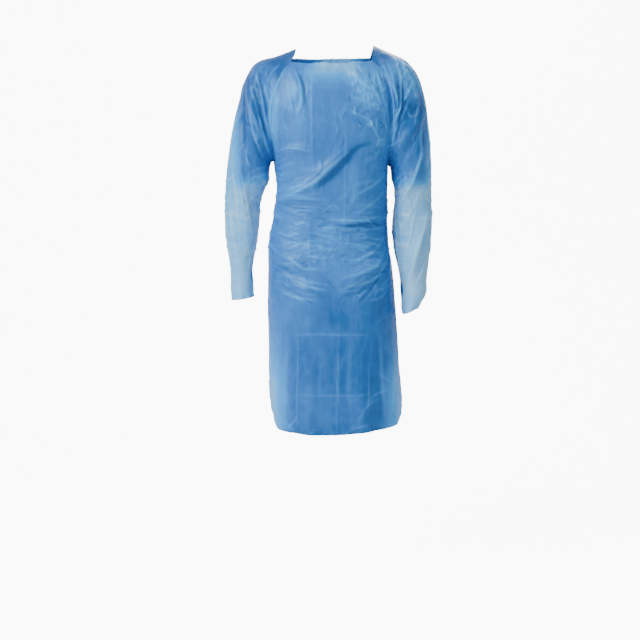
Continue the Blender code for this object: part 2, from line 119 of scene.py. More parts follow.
LEFT_SLEEVE = (
    SLEEVE_COLUMNS,
    (-0.160, -0.035, -0.173, -0.320, 0.000, 0.093, 0.088, -0.030),
    (-0.209, -0.051, -0.177, -0.329, 0.001, 0.091, 0.087, -0.022),
    (-0.243, -0.096, -0.179, -0.341, 0.002, 0.087, 0.084, -0.012),
    (-0.265, -0.168, -0.180, -0.355, 0.004, 0.082, 0.080, -0.006),
    (-0.282, -0.245, -0.180, -0.369, 0.006, 0.076, 0.075, -0.002),
    (-0.293, -0.318, -0.190, -0.392, 0.007, 0.068, 0.070, 0.000),
    (-0.301, -0.385, -0.203, -0.428, 0.006, 0.062, 0.064, 0.000),
    (-0.303, -0.440, -0.207, -0.468, 0.002, 0.057, 0.059, 0.000),
    (-0.301, -0.498, -0.212, -0.512, -0.005, 0.052, 0.053, 0.000),
    (-0.297, -0.547, -0.217, -0.551, -0.013, 0.046, 0.046, 0.000),
    (-0.291, -0.588, -0.223, -0.586, -0.020, 0.040, 0.040, 0.000),
    (-0.287, -0.622, -0.226, -0.616, -0.026, 0.038, 0.037, 0.000),
    (-0.286, -0.656, -0.223, -0.648, -0.031, 0.040, 0.038, 0.000),
    (-0.283, -0.696, -0.221, -0.686, -0.036, 0.041, 0.038, 0.000),
)
RIGHT_SLEEVE = (
    SLEEVE_COLUMNS,
    (0.152, -0.027, 0.150, -0.333, 0.000, 0.093, 0.088, 0.024),
    (0.192, -0.048, 0.153, -0.342, 0.001, 0.091, 0.087, 0.017),
    (0.225, -0.088, 0.154, -0.353, 0.002, 0.087, 0.084, 0.010),
    (0.245, -0.152, 0.155, -0.364, 0.004, 0.082, 0.080, 0.005),
    (0.258, -0.235, 0.159, -0.378, 0.006, 0.077, 0.076, 0.002),
    (0.264, -0.310, 0.163, -0.400, 0.007, 0.071, 0.072, 0.000),
    (0.266, -0.380, 0.163, -0.435, 0.005, 0.066, 0.067, 0.000),
    (0.266, -0.440, 0.160, -0.478, 0.001, 0.062, 0.063, 0.000),
    (0.266, -0.497, 0.160, -0.522, -0.006, 0.058, 0.058, 0.000),
    (0.263, -0.550, 0.164, -0.564, -0.015, 0.053, 0.052, 0.000),
    (0.257, -0.600, 0.172, -0.606, -0.025, 0.047, 0.045, 0.000),
    (0.251, -0.642, 0.178, -0.645, -0.034, 0.042, 0.040, 0.000),
    (0.249, -0.677, 0.181, -0.688, -0.042, 0.041, 0.038, 0.000),
    (0.226, -0.716, 0.184, -0.733, -0.049, 0.039, 0.036, 0.000),
)
NECK_CORNER_TURN = 30.0  # from a sleeve's outer edge to its front corner at the neck
SLEEVE_SIDES = 24  # columns of a sleeve's section in the CAD part
THUMB_CENTRE = (9.0, -3.0)  # CAD column, and CAD rings from the cuff
THUMB_REACH = (1.0, 1.0)  # half the hole, in the same units

# ---- Pitch and thickness of the shells ----

FILM = 0.0005
SEAM_ROWS = 80  # from neck to armpit, and columns round each half of an armhole
BODY_ROWS = 215
FRONT_COLUMNS = 150
MIDDLE_CLOSER = 0.3  # how much closer than even the front's columns stand in its middle
BACK_COLUMNS = 52
NECK_COLUMNS = 32
EDGE_STEPS = (0.3, 0.65)  # of a step, where extra points lie beside a sealed edge
RINGS_PER_SECTION = 14
WELD_SCALE = 1e6  # seam points are matched to a micrometre
LIP = 0.0011  # how far the sealed edges stand up
PUCKER = 0.0010
PUCKER_REACH = 0.013
PUCKER_NOISE = ((110, 1.0), (240, 0.6))  # scale and weight
LIP_REACH = 0.0016
NECK_SAG = 0.0045  # of the front's neckline, in its middle
NECK_SAG_ROWS = 14  # over which the sag fades out
NECK_SAG_WAVE = 0.3  # how uneven the sag is
RIM_PITCH = 0.024  # of the waves at the free edges
RIM_HEIGHT = 0.0030
RIM_REACH = 0.020

# ---- Folds and creases ----

# The CAD part's folds, in millimetres: x and z of both ends, half width and height.
FOLDS = {
    "front": (
        (30, -294, -66, -380, 16, 11),
        (-66, -380, -154, -418, 15, 9),
        (-162, -294, -74, -290, 14, 7),
        (-162, -424, -96, -391, 12, -7),
        (-162, -430, -19, -440, 12, -7),
        (0, -485, 113, -476, 13, 9),
        (100, -500, 144, -470, 12, -7),
        (-130, -535, 20, -531, 13, -5),
        (-137, -583, -30, -618, 14, 8),
        (-107, -652, -25, -674, 14, 8),
        (25, -644, 143, -575, 15, 9),
        (30, -690, 146, -620, 15, -7),
        (-115, -69, -96, -165, 16, 5),
        (41, -69, 128, -170, 16, 7),
        (150, -860, 160, -1060, 16, 8),
        (-150, -900, -146, -1060, 17, 7),
        (-60, -880, -72, -1080, 20, 7),
        (70, -900, 80, -1080, 20, 7),
        (-216, -60, -188, -160, 14, 9),
        (-232, -125, -190, -290, 14, 11),
        (-250, -130, -252, -280, 13, -8),
        (-262, -330, -232, -560, 13, 9),
        (150, -60, 160, -200, 14, 8),
        (235, -190, 160, -300, 14, 11),
        (232, -320, 176, -440, 14, 11),
        (252, -460, 200, -640, 14, 11),
    ),
    "back": (
        (-140, -90, -160, -230, 16, 8),
        (130, -90, 150, -230, 16, 8),
        (-40, -170, -120, -320, 17, 8),
        (30, -180, 110, -310, 17, 8),
        (-30, -430, -130, -370, 15, 8),
        (20, -430, 115, -375, 15, 8),
        (-35, -480, -140, -560, 15, 8),
        (20, -480, 120, -570, 15, 8),
        (-120, -640, -130, -820, 18, 8),
        (110, -630, 125, -840, 18, 8),
        (-225, -110, -200, -280, 15, 9),
        (215, -130, 190, -290, 15, 9),
        (-270, -330, -240, -560, 14, 9),
        (240, -340, 205, -600, 14, 9),
    ),
}
FOLD_ENDS = 0.35  # height of a fold's ends, as a share of its middle's
FOLD_FADE = 2.5  # how soon folds fade where the surface turns away from their side
ARMPIT_CALM = 0.075  # reach round the armpits in which folds fade out
ARMPIT_CREASES = 0.3  # share of the creases left there

# Creases, listed in millimetres: half width, height, lap, then x and z of each point, or
# y and z at the left and right. The lap runs from 0, a plain ridge, to 1 or -1, a ridge with a
# trough along one side, as where film rolls over.
FRONT_CREASES = (
    # fold lines from the packing
    (3.6, 1.5, 0.4, -62, -71, -64, -211, -62, -350),
    (3.6, 1.5, 0.4, 25, -198, 25, -329, 23, -450, 23, -517),
    (4.0, 0.9, 0.3, -71, -501, -71, -605),
    (3.8, 1.7, -0.4, -98, -770, -100, -900, -101, -1046),
    (3.8, 1.9, 0.4, 7, -750, 5, -900, 2, -1048),
    (3.8, 1.6, 0.4, 89, -850, 89, -930, 86, -1004),
    (4.0, 0.9, 0.2, -112, -86, 17, -86),
    (4.0, 0.9, 0.2, -62, -128, 17, -128),
    (3.8, 1.8, 0.4, -118, -785, -40, -780, 90, -783),
    (3.8, 1.5, 0.4, -100, -944, 20, -945, 100, -942),
    (4.2, 1.6, 0.4, 84, -968, 112, -944, 150, -934),
    # waist and belly
    (4.2, 3.8, 0.5, -16, -477, 22, -478, 76, -478, 109, -471, 132, -464),
    (5.0, -2.6, 0.0, 0, -488, 60, -489, 112, -483),
    (5.0, 1.8, 0.4, -65, -514, -25, -519, 16, -522),
    (4.5, 1.5, -0.4, -134, -535, -70, -530, -14, -536),
    (5.0, 2.2, 0.4, -80, -573, -40, -578, -4, -575),
    (5.5, 2.8, 0.5, -136, -570, -110, -592, -80, -607, -28, -607),
    (5.0, 2.4, 0.5, -112, -629, -70, -641, -22, -648),
    (4.5, 1.8, 0.4, -100, -642, -65, -654, -22, -663),
    (6.0, 2.4, 0.5, -148, -668, -110, -684, -46, -690),
    (6.0, 3.2, 0.6, 20, -632, 71, -618, 114, -597, 142, -553),
    (5.5, 2.8, 0.5, 26, -656, 74, -647, 114, -628, 144, -585),
    (5.5, -2.4, 0.4, 60, -700, 93, -666, 118, -630),
    (5.0, 2.2, 0.5, 39, -588, 98, -567, 138, -524),
    # chest
    (4.6, 2.6, 0.5, -158, -296, -119, -286, -54, -299),
    (5.0, 3.0, 0.5, -160, -416, -121, -400, -92, -385, -60, -362),
    (4.2, 2.4, 0.4, -152, -421, -112, -411, -62, -422),
    (4.2, 2.2, 0.4, -150, -396, -104, -388, -62, -378),
    (5.0, 2.2, 0.4, -158, -421, -94, -420, -18, -424),
    (5.0, -1.8, 0.4, -155, -430, -115, -440, -78, -446),
    (5.0, 3.2, 0.4, -113, -73, -97, -110, -91, -163, -104, -200),
    (6.0, -2.4, 0.0, -104, -80, -84, -120, -80, -176),
    (4.5, 2.4, 0.4, -132, -104, -120, -159, -113, -200),
    (5.5, 2.6, 0.5, 43, -82, 69, -118, 104, -140),
    (5.0, 2.4, 0.5, 59, -72, 92, -118, 128, -184),
    (4.0, 2.0, 0.4, 95, -68, 101, -102, 97, -138),
    (4.0, 2.0, 0.4, 107, -84, 115, -108, 124, -132),
    (4.0, 2.0, 0.4, 90, -167, 104, -172, 121, -177),
    (4.0, 2.0, 0.4, 89, -209, 101, -235, 120, -268),
    (4.0, 1.8, 0.4, 78, -95, 76, -126, 75, -156),
    (5.5, 2.2, 0.4, 100, -66, 120, -125, 136, -200),
    (4.6, 2.4, 0.5, 38, -149, 80, -166, 130, -192),
    (4.6, 2.6, 0.5, 32, -190, 75, -206, 110, -240),
    (6.0, 2.4, 0.5, 140, -340, 100, -380, 44, -412),
    (6.0, 2.0, 0.4, 138, -392, 92, -434, 44, -458),
    (6.0, 3.6, 0.8, 30, -293, -20, -337, -65, -376, -152, -415),
    (9.0, -2.6, 0.0, 48, -300, -6, -352, -52, -392),
    (8.0, -2.5, 0.2, 96, -270, 60, -280, 20, -320),
    # skirt
    (7.0, 1.3, 0.3, -133, -760, -136, -900, -141, -1010),
    (8.0, 0.6, 0.3, -36, -809, -44, -930, -41, -1041),
    (5.0, 1.8, 0.4, -150, -1010, -126, -1032, -108, -1044),
    (5.0, 1.6, 0.4, 60, -1020, 88, -974, 120, -958),
    (8.0, 0.8, -0.3, 45, -796, 40, -920, 51, -1047),
    (5.0, 2.4, 0.4, 156, -850, 157, -920, 158, -1000),
    (8.0, 1.8, 0.3, 118, -760, 124, -900, 134, -1014),
    (5.0, 2.0, 0.4, -134, -1042, -118, -1030, -100, -1002),
    (5.0, 2.0, 0.4, 40, -1040, 60, -1032, 90, -1026),
    # left sleeve
    (5.5, 4.2, 0.5, -203, -66, -194, -103, -186, -140, -176, -172),
    (5.5, 4.8, 0.6, -229, -120, -212, -171, -200, -225, -184, -286, -170, -318),
    (5.0, 3.6, 0.5, -241, -138, -229, -195, -220, -248, -195, -305),
    (5.5, 3.6, 0.4, -133, -68, -152, -107, -168, -148, -175, -196, -171, -262),
    (4.2, 2.4, 0.4, -204, -72, -219, -112, -228, -132),
    (4.2, 2.4, 0.4, -148, -58, -172, -84, -184, -110),
    (4.2, -2.8, 0.2, -198, -74, -191, -104, -188, -136),
    (4.5, 2.6, 0.4, -212, -88, -200, -140, -189, -200, -174, -262),
    (6.0, -3.4, 0.2, -216, -134, -204, -190, -190, -248),
    (6.0, -3.0, 0.2, -196, -110, -188, -160, -180, -216),
    (6.0, -2.8, 0.3, -247, -138, -250, -210, -246, -280),
    (5.5, 3.4, 0.5, -262, -325, -246, -396, -234, -476, -224, -560),
    (5.0, 2.6, 0.4, -282, -310, -270, -422, -258, -548),
    (5.0, 2.2, 0.4, -290, -400, -284, -480, -272, -570),
    (4.5, 1.8, 0.4, -180, -329, -205, -336, -232, -350),
    (4.5, 1.8, -0.4, -186, -355, -215, -364, -243, -382),
    (4.5, 1.8, 0.4, -212, -400, -236, -432, -246, -480),
    # right sleeve
    (5.0, 4.0, 0.5, 109, -44, 136, -103, 152, -177, 149, -262),
    (4.6, 3.8, 0.5, 112, -34, 140, -100, 161, -155, 158, -210, 150, -272),
    (4.6, 3.6, 0.5, 146, -32, 166, -72, 172, -120, 168, -180, 157, -246),
    (5.0, 3.8, 0.5, 206, -110, 187, -145, 170, -176, 160, -206),
    (5.0, 3.4, 0.5, 196, -152, 183, -182, 169, -214, 157, -244, 148, -290),
    (4.6, -3.8, 0.1, 124, -84, 139, -126, 147, -172, 151, -232),
    (4.2, 2.8, 0.4, 128, -44, 144, -78, 154, -118, 163, -160),
    (5.0, -3.2, 0.1, 178, -112, 180, -160, 172, -204, 160, -258),
    (4.5, 2.6, 0.4, 166, -40, 204, -112, 214, -160),
    (4.5, 2.4, 0.4, 182, -44, 222, -116, 236, -170),
    (5.0, 3.8, 0.6, 236, -180, 226, -235, 230, -288, 223, -325, 206, -372, 184, -410, 166, -445),
    (5.0, 2.4, 0.4, 198, -94, 206, -106, 213, -120),
    (5.5, 3.6, 0.5, 250, -455, 233, -517, 208, -600, 193, -652),
    (5.0, 2.6, -0.5, 218, -460, 205, -528, 187, -592),
    (5.0, 2.8, 0.5, 259, -528, 244, -590, 216, -655),
    (5.0, 2.4, 0.4, 226, -400, 206, -450, 176, -500),
)
LEFT_CREASES = (
    # outer side of the sleeve, and the hip
    (5.5, 3.0, 0.5, -34, -92, -46, -170, -30, -250, -36, -322),
    (5.0, 2.6, -0.4, 6, -74, 22, -150, 34, -236),
    (5.0, 2.4, 0.4, 44, -96, 50, -186, 38, -300),
    (5.0, 2.8, 0.5, -62, -352, -24, -374, 26, -368),
    (4.6, 2.4, -0.4, -56, -392, -10, -410, 42, -394),
    (5.0, 2.6, 0.4, -22, -430, -36, -520, -48, -622),
    (5.0, 2.4, -0.4, 22, -424, 4, -530, -14, -648),
    (6.0, 2.4, 0.4, -80, -476, -10, -458, 70, -452),
    (6.0, 2.4, 0.4, -86, -570, -10, -526, 74, -470),
    (7.0, 2.0, 0.3, -46, -640, -50, -780, -60, -960),
    (7.0, 1.8, -0.3, 40, -620, 46, -740, 30, -860),
)
RIGHT_CREASES = (
    (5.5, 3.0, 0.5, -28, -86, -44, -158, -38, -240, -22, -310),
    (5.0, 2.8, -0.4, 12, -70, 30, -140, 28, -222),
    (5.0, 2.2, 0.4, 50, -110, 42, -200, 48, -286),
    (5.0, 2.6, 0.5, -58, -360, -14, -384, 36, -380),
    (4.6, 2.6, -0.4, -60, -410, -20, -424, 30, -416),
    (5.0, 2.8, 0.4, -30, -446, -38, -540, -60, -640),
    (5.0, 2.2, -0.4, 26, -440, 2, -550, -26, -668),
    (6.0, 2.6, 0.4, -84, -486, -20, -462, 66, -450),
    (6.0, 2.4, 0.4, -80, -590, -4, -540, 78, -476),
    (7.0, 2.0, -0.3, -30, -650, -40, -800, -36, -990),
    (7.0, 1.8, 0.3, 50, -630, 58, -730, 44, -840),
)
BACK_CREASES = (
    # of the same kinds as those of the front
    (6.0, 2.6, 0.5, -112, -75, -132, -150, -150, -235),
    (6.0, 2.6, -0.5, 98, -72, 122, -150, 140, -240),
    (7.0, 3.0, 0.5, -30, -130, -66, -205, -128, -320),
    (7.0, 3.0, -0.5, 24, -140, 62, -215, 116, -318),
    (5.0, 2.2, 0.4, -24, -210, -58, -262, -112, -352),
    (5.0, 2.2, -0.4, 14, -230, 52, -284, 104, -360),
    (5.5, 3.0, 0.5, -20, -447, -78, -412, -148, -362),
    (5.5, 3.0, 0.5, 8, -447, 60, -410, 126, -360),
    (5.0, 2.4, 0.4, -22, -452, -80, -438, -158, -420),
    (5.0, 2.4, 0.4, 10, -452, 70, -434, 138, -412),
    (5.5, 2.8, -0.5, -26, -468, -84, -500, -156, -560),
    (5.5, 2.8, -0.5, 12, -468, 72, -502, 134, -566),
    (5.0, 2.4, -0.4, -36, -470, -70, -530, -112, -620),
    (5.0, 2.4, -0.4, 24, -470, 60, -536, 96, -625),
    (8.0, 3.0, 0.4, -90, -600, -112, -700, -122, -830),
    (8.0, 3.0, -0.4, 84, -600, 108, -710, 120, -840),
    (7.0, 2.2, 0.4, -48, -560, -66, -640, -84, -740),
    (7.0, 2.2, -0.4, 36, -560, 54, -650, 72, -750),
    (4.2, 1.1, 0.3, -80, -120, -82, -260, -80, -400),
    (4.2, 1.1, 0.3, 74, -120, 76, -260, 74, -400),
    (4.2, 1.1, 0.3, -160, -620, -40, -622),
    (4.2, 1.1, 0.3, 150, -622, 40, -620),
    (5.5, 3.0, 0.5, -212, -80, -206, -170, -186, -290),
    (5.5, 3.0, -0.5, 190, -80, 196, -170, 168, -300),
    (5.0, 2.6, 0.5, -240, -120, -232, -220, -196, -320),
    (5.0, 2.6, -0.5, 226, -130, 222, -230, 178, -330),
    (5.5, 2.8, 0.5, -276, -320, -262, -430, -244, -560),
    (5.5, 2.8, -0.5, 250, -330, 236, -450, 208, -610),
    (5.0, 2.2, 0.4, -226, -370, -246, -450, -262, -540),
    (5.0, 2.2, -0.4, 186, -380, 206, -460, 224, -560),
)
CREASES = {
    "front": FRONT_CREASES,
    "left": LEFT_CREASES,
    "right": RIGHT_CREASES,
    "back": BACK_CREASES,
}

# Fields of small wrinkles, drawn at random with a fixed seed: how many, ranges of x (or y) and z,
# direction in degrees from +X (or +Y) and two standard deviations of it, and ranges of length,
# half width and height.
FIELDS = {
    "front": (
        (60, (-130, 120), (-600, -440), 0, 14, (24, 90), (3.2, 4.4), (1.0, 2.8)),
        (22, (-150, -20), (-690, -590), -22, 12, (24, 70), (3.6, 4.8), (0.8, 2.0)),
        (22, (20, 150), (-690, -540), 26, 12, (24, 70), (3.6, 4.8), (0.9, 2.2)),
        (56, (36, 136), (-230, -72), -52, 60, (9, 30), (3.2, 4.2), (1.1, 2.8)),
        (26, (-140, -40), (-250, -80), -75, 30, (14, 46), (3.6, 5.0), (0.5, 1.3)),
        (26, (60, 142), (-440, -240), 40, 30, (16, 50), (3.8, 5.0), (0.6, 1.5)),
        (24, (-160, -60), (-440, -300), 20, 26, (16, 54), (3.8, 5.2), (0.6, 1.5)),
        (30, (-60, 60), (-440, -150), 70, 50, (12, 44), (3.6, 4.8), (0.6, 1.5)),
        (40, (-160, 160), (-1040, -700), 80, 90, (18, 60), (4.0, 5.4), (0.3, 0.7)),
        (30, (-240, -176), (-330, -90), -68, 18, (20, 70), (3.6, 5.0), (0.8, 2.2)),
        (34, (-300, -205), (-590, -340), -82, 14, (20, 90), (3.6, 5.0), (0.6, 1.6)),
        (26, (150, 240), (-330, -60), -110, 18, (20, 70), (3.6, 5.0), (0.8, 2.2)),
        (34, (164, 264), (-640, -340), -104, 16, (20, 90), (3.6, 5.0), (0.6, 1.6)),
        (34, (160, 262), (-200, -50), -60, 70, (8, 30), (3.4, 4.4), (1.0, 2.4)),
    ),
    "left": (
        (30, (-70, 70), (-330, -70), 92, 24, (18, 70), (3.6, 5.0), (0.6, 1.7)),
        (12, (-70, 60), (-430, -340), 10, 30, (14, 44), (3.6, 4.8), (0.6, 1.4)),
        (16, (-60, 40), (-660, -430), 80, 14, (18, 70), (3.6, 5.0), (0.5, 1.3)),
        (26, (-100, 90), (-620, -430), 14, 26, (20, 80), (3.8, 5.2), (0.6, 1.8)),
        (24, (-110, 100), (-990, -640), 86, 40, (20, 80), (4.0, 5.4), (0.4, 1.1)),
    ),
    "right": (
        (30, (-70, 70), (-330, -70), 88, 24, (18, 70), (3.6, 5.0), (0.6, 1.7)),
        (12, (-70, 60), (-440, -350), 12, 30, (14, 44), (3.6, 4.8), (0.6, 1.4)),
        (16, (-66, 36), (-690, -440), 80, 14, (18, 70), (3.6, 5.0), (0.5, 1.3)),
        (26, (-100, 90), (-630, -430), 16, 26, (20, 80), (3.8, 5.2), (0.6, 1.8)),
        (24, (-110, 100), (-1000, -640), 86, 40, (20, 80), (4.0, 5.4), (0.4, 1.1)),
    ),
    "back": (
        (30, (-160, -20), (-540, -370), 15, 30, (16, 60), (3.8, 5.0), (0.7, 1.8)),
        (30, (10, 140), (-540, -370), -15, 30, (16, 60), (3.8, 5.0), (0.7, 1.8)),
        (26, (-150, -10), (-350, -80), -60, 30, (18, 60), (3.8, 5.2), (0.5, 1.3)),
        (26, (0, 140), (-350, -80), 60, 30, (18, 60), (3.8, 5.2), (0.5, 1.3)),
        (40, (-170, 170), (-900, -560), 84, 50, (20, 80), (4.0, 5.4), (0.5, 1.2)),
        (28, (-250, -176), (-330, -80), -70, 18, (20, 70), (3.6, 5.0), (0.8, 2.0)),
        (34, (-300, -205), (-600, -340), -84, 16, (20, 90), (3.6, 5.0), (0.6, 1.6)),
        (28, (150, 250), (-330, -80), -108, 18, (20, 70), (3.6, 5.0), (0.8, 2.0)),
        (34, (164, 264), (-650, -340), -100, 16, (20, 90), (3.6, 5.0), (0.6, 1.6)),
    ),
}
SEED = 7
FIELD_LAPS = (-0.5, 0.5)
FIELD_SIGNS = (1, 1, -0.7)  # two ridges for each trough, which is less deep
BEND = 0.16  # of a wrinkle's length, how far its middle may lie off the straight
CREASE_ENDS = 0.12  # height of a crease's ends, as a share of its middle's
CREASE_TAPER = 0.7  # power of the way it tapers off
CREASE_REACH = 2.2  # half widths in which its flanks run out
LAP_DEPTH = 1.3
LINE_STEPS = 6  # of a smooth line, between two points of a stroke
# For each side, the axis across it, the axis it faces along and which way.
DRAWN = {"front": (0, 1, -1), "back": (0, 1, 1), "left": (1, 0, -1), "right": (1, 0, 1)}
CREST = 0.4  # roundness of a crease's crest, as a share of its half width
LIFT_UNIT = 0.004  # lift that counts as 1 in the material
FREE_CALM = 0.85  # how much less the painted highlights on crests and painted shade in troughs stand out where the film is pale
BILLOWS = ((0.11, 0.0022), (0.045, 0.0008), (0.018, 0.00028))  # pitch and height

# Zones in millimetres: x and z of the middle, reach in x and z, and strength. In the first the
# film is the most crumpled.
CRINKLE = {
    "front": (
        (88, -130, 60, 90, 1.0),
        (-90, -140, 50, 80, 0.35),
        (0, -540, 190, 120, 0.8),
        (120, -260, 50, 90, 0.45),
        (-120, -380, 60, 70, 0.4),
        (205, -90, 60, 70, 1.0),
        (-225, -150, 50, 110, 0.5),
        (230, -540, 60, 150, 0.5),
        (-262, -480, 50, 150, 0.35),
    ),
    "back": (
        (0, -450, 170, 110, 0.7),
        (-90, -180, 70, 110, 0.4),
        (80, -180, 70, 110, 0.4),
        (-240, -200, 60, 150, 0.5),
        (225, -200, 60, 150, 0.5),
        (-262, -500, 50, 140, 0.4),
        (230, -520, 60, 150, 0.4),
    ),
}
# Here the film is paler where it is stretched, and painted highlights stand in for light on it.
STRETCH_AND_SHEEN = {
    "front": (
        (-168, -190, 18, 110, 0.34),
        (-186, -130, 14, 60, 0.30),
        (-205, -75, 40, 30, 0.14),
        (178, -76, 42, 44, 0.50),
        (206, -116, 34, 44, 0.42),
        (-118, -225, 44, 74, 0.10),
        (-98, -140, 34, 76, 0.12),
        (48, -365, 16, 62, 0.18),
        (-10, -560, 130, 80, 0.07),
        (84, -122, 50, 60, 0.26),
    ),
    "back": (
        (-160, -200, 22, 100, 0.3),
        (140, -215, 20, 90, 0.25),
    ),
}
# Here its fine wrinkles run across rather than down.
ACROSS = {
    "front": (
        (0, -520, 240, 150, 1.0),
        (-90, -400, 90, 60, 0.8),
    ),
    "back": (
        (0, -450, 240, 120, 0.8),
    ),
}

# ---- Ties ----

TIE_Z = -0.455
TIE_WIDTH = 0.020
TIE_FILM = 0.0007  # thickness of the shells
TIE_SEAT = 0.0009  # from the back halves' film
TIE_ACROSS = 22  # steps across a tie
TIE_PLEATS = 3
TIE_DRIFT = 2.4  # how far the pleats wander along the tie, in radians
TIE_DRIFT_PITCH = 0.07  # of a noise, for each column
TIE_PLEAT_SKEW = 5.0  # closer pleats towards the edges
TIE_PLEAT_LOW = 0.0006  # depth of the pleats along the tie and at the knot
TIE_PLEAT_HIGH = 0.0024
TIE_GATHERED = 0.002  # from the knot, where the tie is fully gathered
TIE_GATHER = 0.045  # and where it starts to be
TIE_NECK = 0.5  # width of the tie at the knot, as a share
TIE_CREST_LEVEL = 0.4  # of a pleat's height, where its tone is even; above it a painted highlight, below it painted shade
TIE_CREST_LOW = 0.3  # contrast of the pleats' painted highlights and painted shade along the tie
TIE_TUCKS = ((0.54, 0.9), (0.36, 0.6))  # columns in the knot: place and width, as shares
TIE_TUCK_DEPTH = 0.8  # of the pleats there
TIE_FREE = 0.34  # tone of the ties, the knot and the ends
KNOT_FREE = 0.36
END_FREE = 0.42

KNOT_SIZE = (0.026, 0.016, 0.026)
KNOT_BAND = (0.0046, 0.0036, 0.0046)  # half thickness of the knotted band
KNOT_REACH = (2.6, 2.75)  # of the knotted curve before it is scaled, across and up
KNOT_STEPS = 150  # along the band
KNOT_ROUND = 42  # round it
KNOT_LOBES = 3.5  # half the pleats round it
KNOT_TWIST = 0.9  # of the pleats round the band, in radians
KNOT_PLEAT = 0.20  # depth of the pleats beside the band's radius
KNOT_PLEAT_EDGE = 0.7  # below 1 for sharp valleys
KNOT_SWELL = 0.12  # unevenness of the band's thickness, and where along it
KNOT_SWELL_AT = 1.1
KNOT_CREST_LEVEL = 0.55  # of a pleat's height, where its tone is even; above it a painted highlight, below it painted shade

END_LENGTHS = (0.265, 0.230)
END_TILTS = (-0.10, 0.07)
END_APART = 0.0068  # of each end from the knot's middle
END_WIDTH = 0.0124
END_TUCK = 0.006  # start of the ends, up in the knot
END_PINCH = 0.55  # width at the knot, as a share
END_WIDENS = 0.05
END_WAVE = 0.006  # height of the slow wave
END_WAVES = 24  # radians a metre
END_WAVE_GROWS = 0.04
END_CURL = 0.0024  # depth of the pleats
END_CURL_TOP = 1.1  # share of it at the knot
END_CURL_OPENS = 0.25  # and how much less below
END_PLEATS = 1.55  # half waves on each side of the middle
END_DRIFT = (1.3, 9.0, 2.2, 17.0)  # of the pleats: by side, steady, wavering, and its pace
END_SLANT = 0.004  # of the cut at the foot
END_SLANT_POWER = 8
# painted highlights on the ends' pleats and painted shade between them, as a share of the fold
END_PAINTED_CREST = 0.5
END_ROWS = 120
END_ACROSS = 22

# Flat cut of the front, the back halves and the sleeves: width, length, area and how it is held.
CUTS = (
    (0.62, 1.08, 0.56, "hung"),
    (0.30, 1.05, 0.15, "hung"),
    (0.30, 1.05, 0.15, "hung"),
    (0.52, 0.72, 0.26, "draped"),
    (0.52, 0.72, 0.26, "draped"),
)

# ---- Material ----

DEEP = (0.011, 0.094, 0.350)
MIDDLE = (0.045, 0.215, 0.620)
BRIGHT = (0.058, 0.405, 0.890)
HAZE = (0.310, 0.640, 0.900)
TONES = ((0.0, DEEP), (0.3, MIDDLE), (0.68, BRIGHT), (1.0, HAZE))
CLOUD_SCALE = 9.0
GRAIN_SCALE = 55.0
GLOSS_SCALE = 24.0
DOWN_AXES = (1.0, 1.0, 0.32)  # scales along the axes, for fine wrinkles that run down
DOWN_SCALE = 44.0
OVER_AXES = (0.25, 0.25, 1.0)  # and for those that run across
OVER_SCALE = 56.0
CRUMPLE_SCALE = 38.0
RIDGE_OFFSET = 0.9
PAINTED_CREST_WEIGHT = 0.75  # painted highlight on crests and lifted film, painted shade in troughs: how much the crests and the lift count in the tone
PAINTED_LIFT_WEIGHT = 0.14
CLOUD_TONE = 0.27
GRAIN_TONE = 0.12
LINE_TONE = 0.06
GLOSS_LOW = 0.24  # least roughness, and how far it goes up from there
GLOSS_RANGE = 0.26
BUMP_LOW = 0.24  # strength where the film is smooth, and how much more where it is crumpled
BUMP_RANGE = 0.95
BUMP_DEPTH = 0.0022
SPECULAR = 0.5
SPECULAR_TINT = (0.45, 0.88, 1.0, 1)
THROUGH = 0.22  # share of the light let through

# How pale the film is. Each band is a pair of places between which a tone grows from none to
# full, in metres below the shoulders or out from the middle.
SLEEVE_TONE = 0.03
SLEEVE_BANDS = ((0.13, 0.12, 0.33), (0.10, 0.50, 0.66))  # strength, then the band downwards
FOREARM_TONE = 0.70
FOREARM_BANDS = {"sleeve_left": (0.345, 0.405), "sleeve_right": (0.350, 0.400)}
FOREARM_SLANTS = {"sleeve_left": 0.32, "sleeve_right": 0.0}
FOREARM_PIVOT = -0.25
RIM_TONE = 0.52
RIM_BANDS = {"sleeve_left": (0.250, 0.272), "sleeve_right": (0.232, 0.262)}
RIM_FADE = 0.6  # how much less the outer rim is pale at the back
RIM_FADE_BAND = (0.0, 0.04)
BODY_TONE = 0.24
FOOT_BAND = (0.70, 0.98)
FOOT_TONES = (0.58, 0.46)  # left and right, at the skirt's sides
SIDE_BANDS = ((0.105, 0.172), (0.118, 0.172))
NECK_TONE = 0.62
NECK_BAND = (0.065, 0.135)
NECK_REACH = (0.030, 0.100)
# Painted shade: deeper towards the foot of the skirt's middle, and at the right hip.
SKIRT_PAINTED_SHADE = -0.17
SKIRT_BAND = (0.55, 0.95)
HIP_PAINTED_SHADE = -0.07
HIP_BAND = (0.36, 0.56)
HIP_REACH = (0.06, 0.13)
BACK_TONE = 0.25
BACK_BAND = (0.50, 0.80)
BACK_REACH = (0.02, 0.08)

# ---- Studio ----

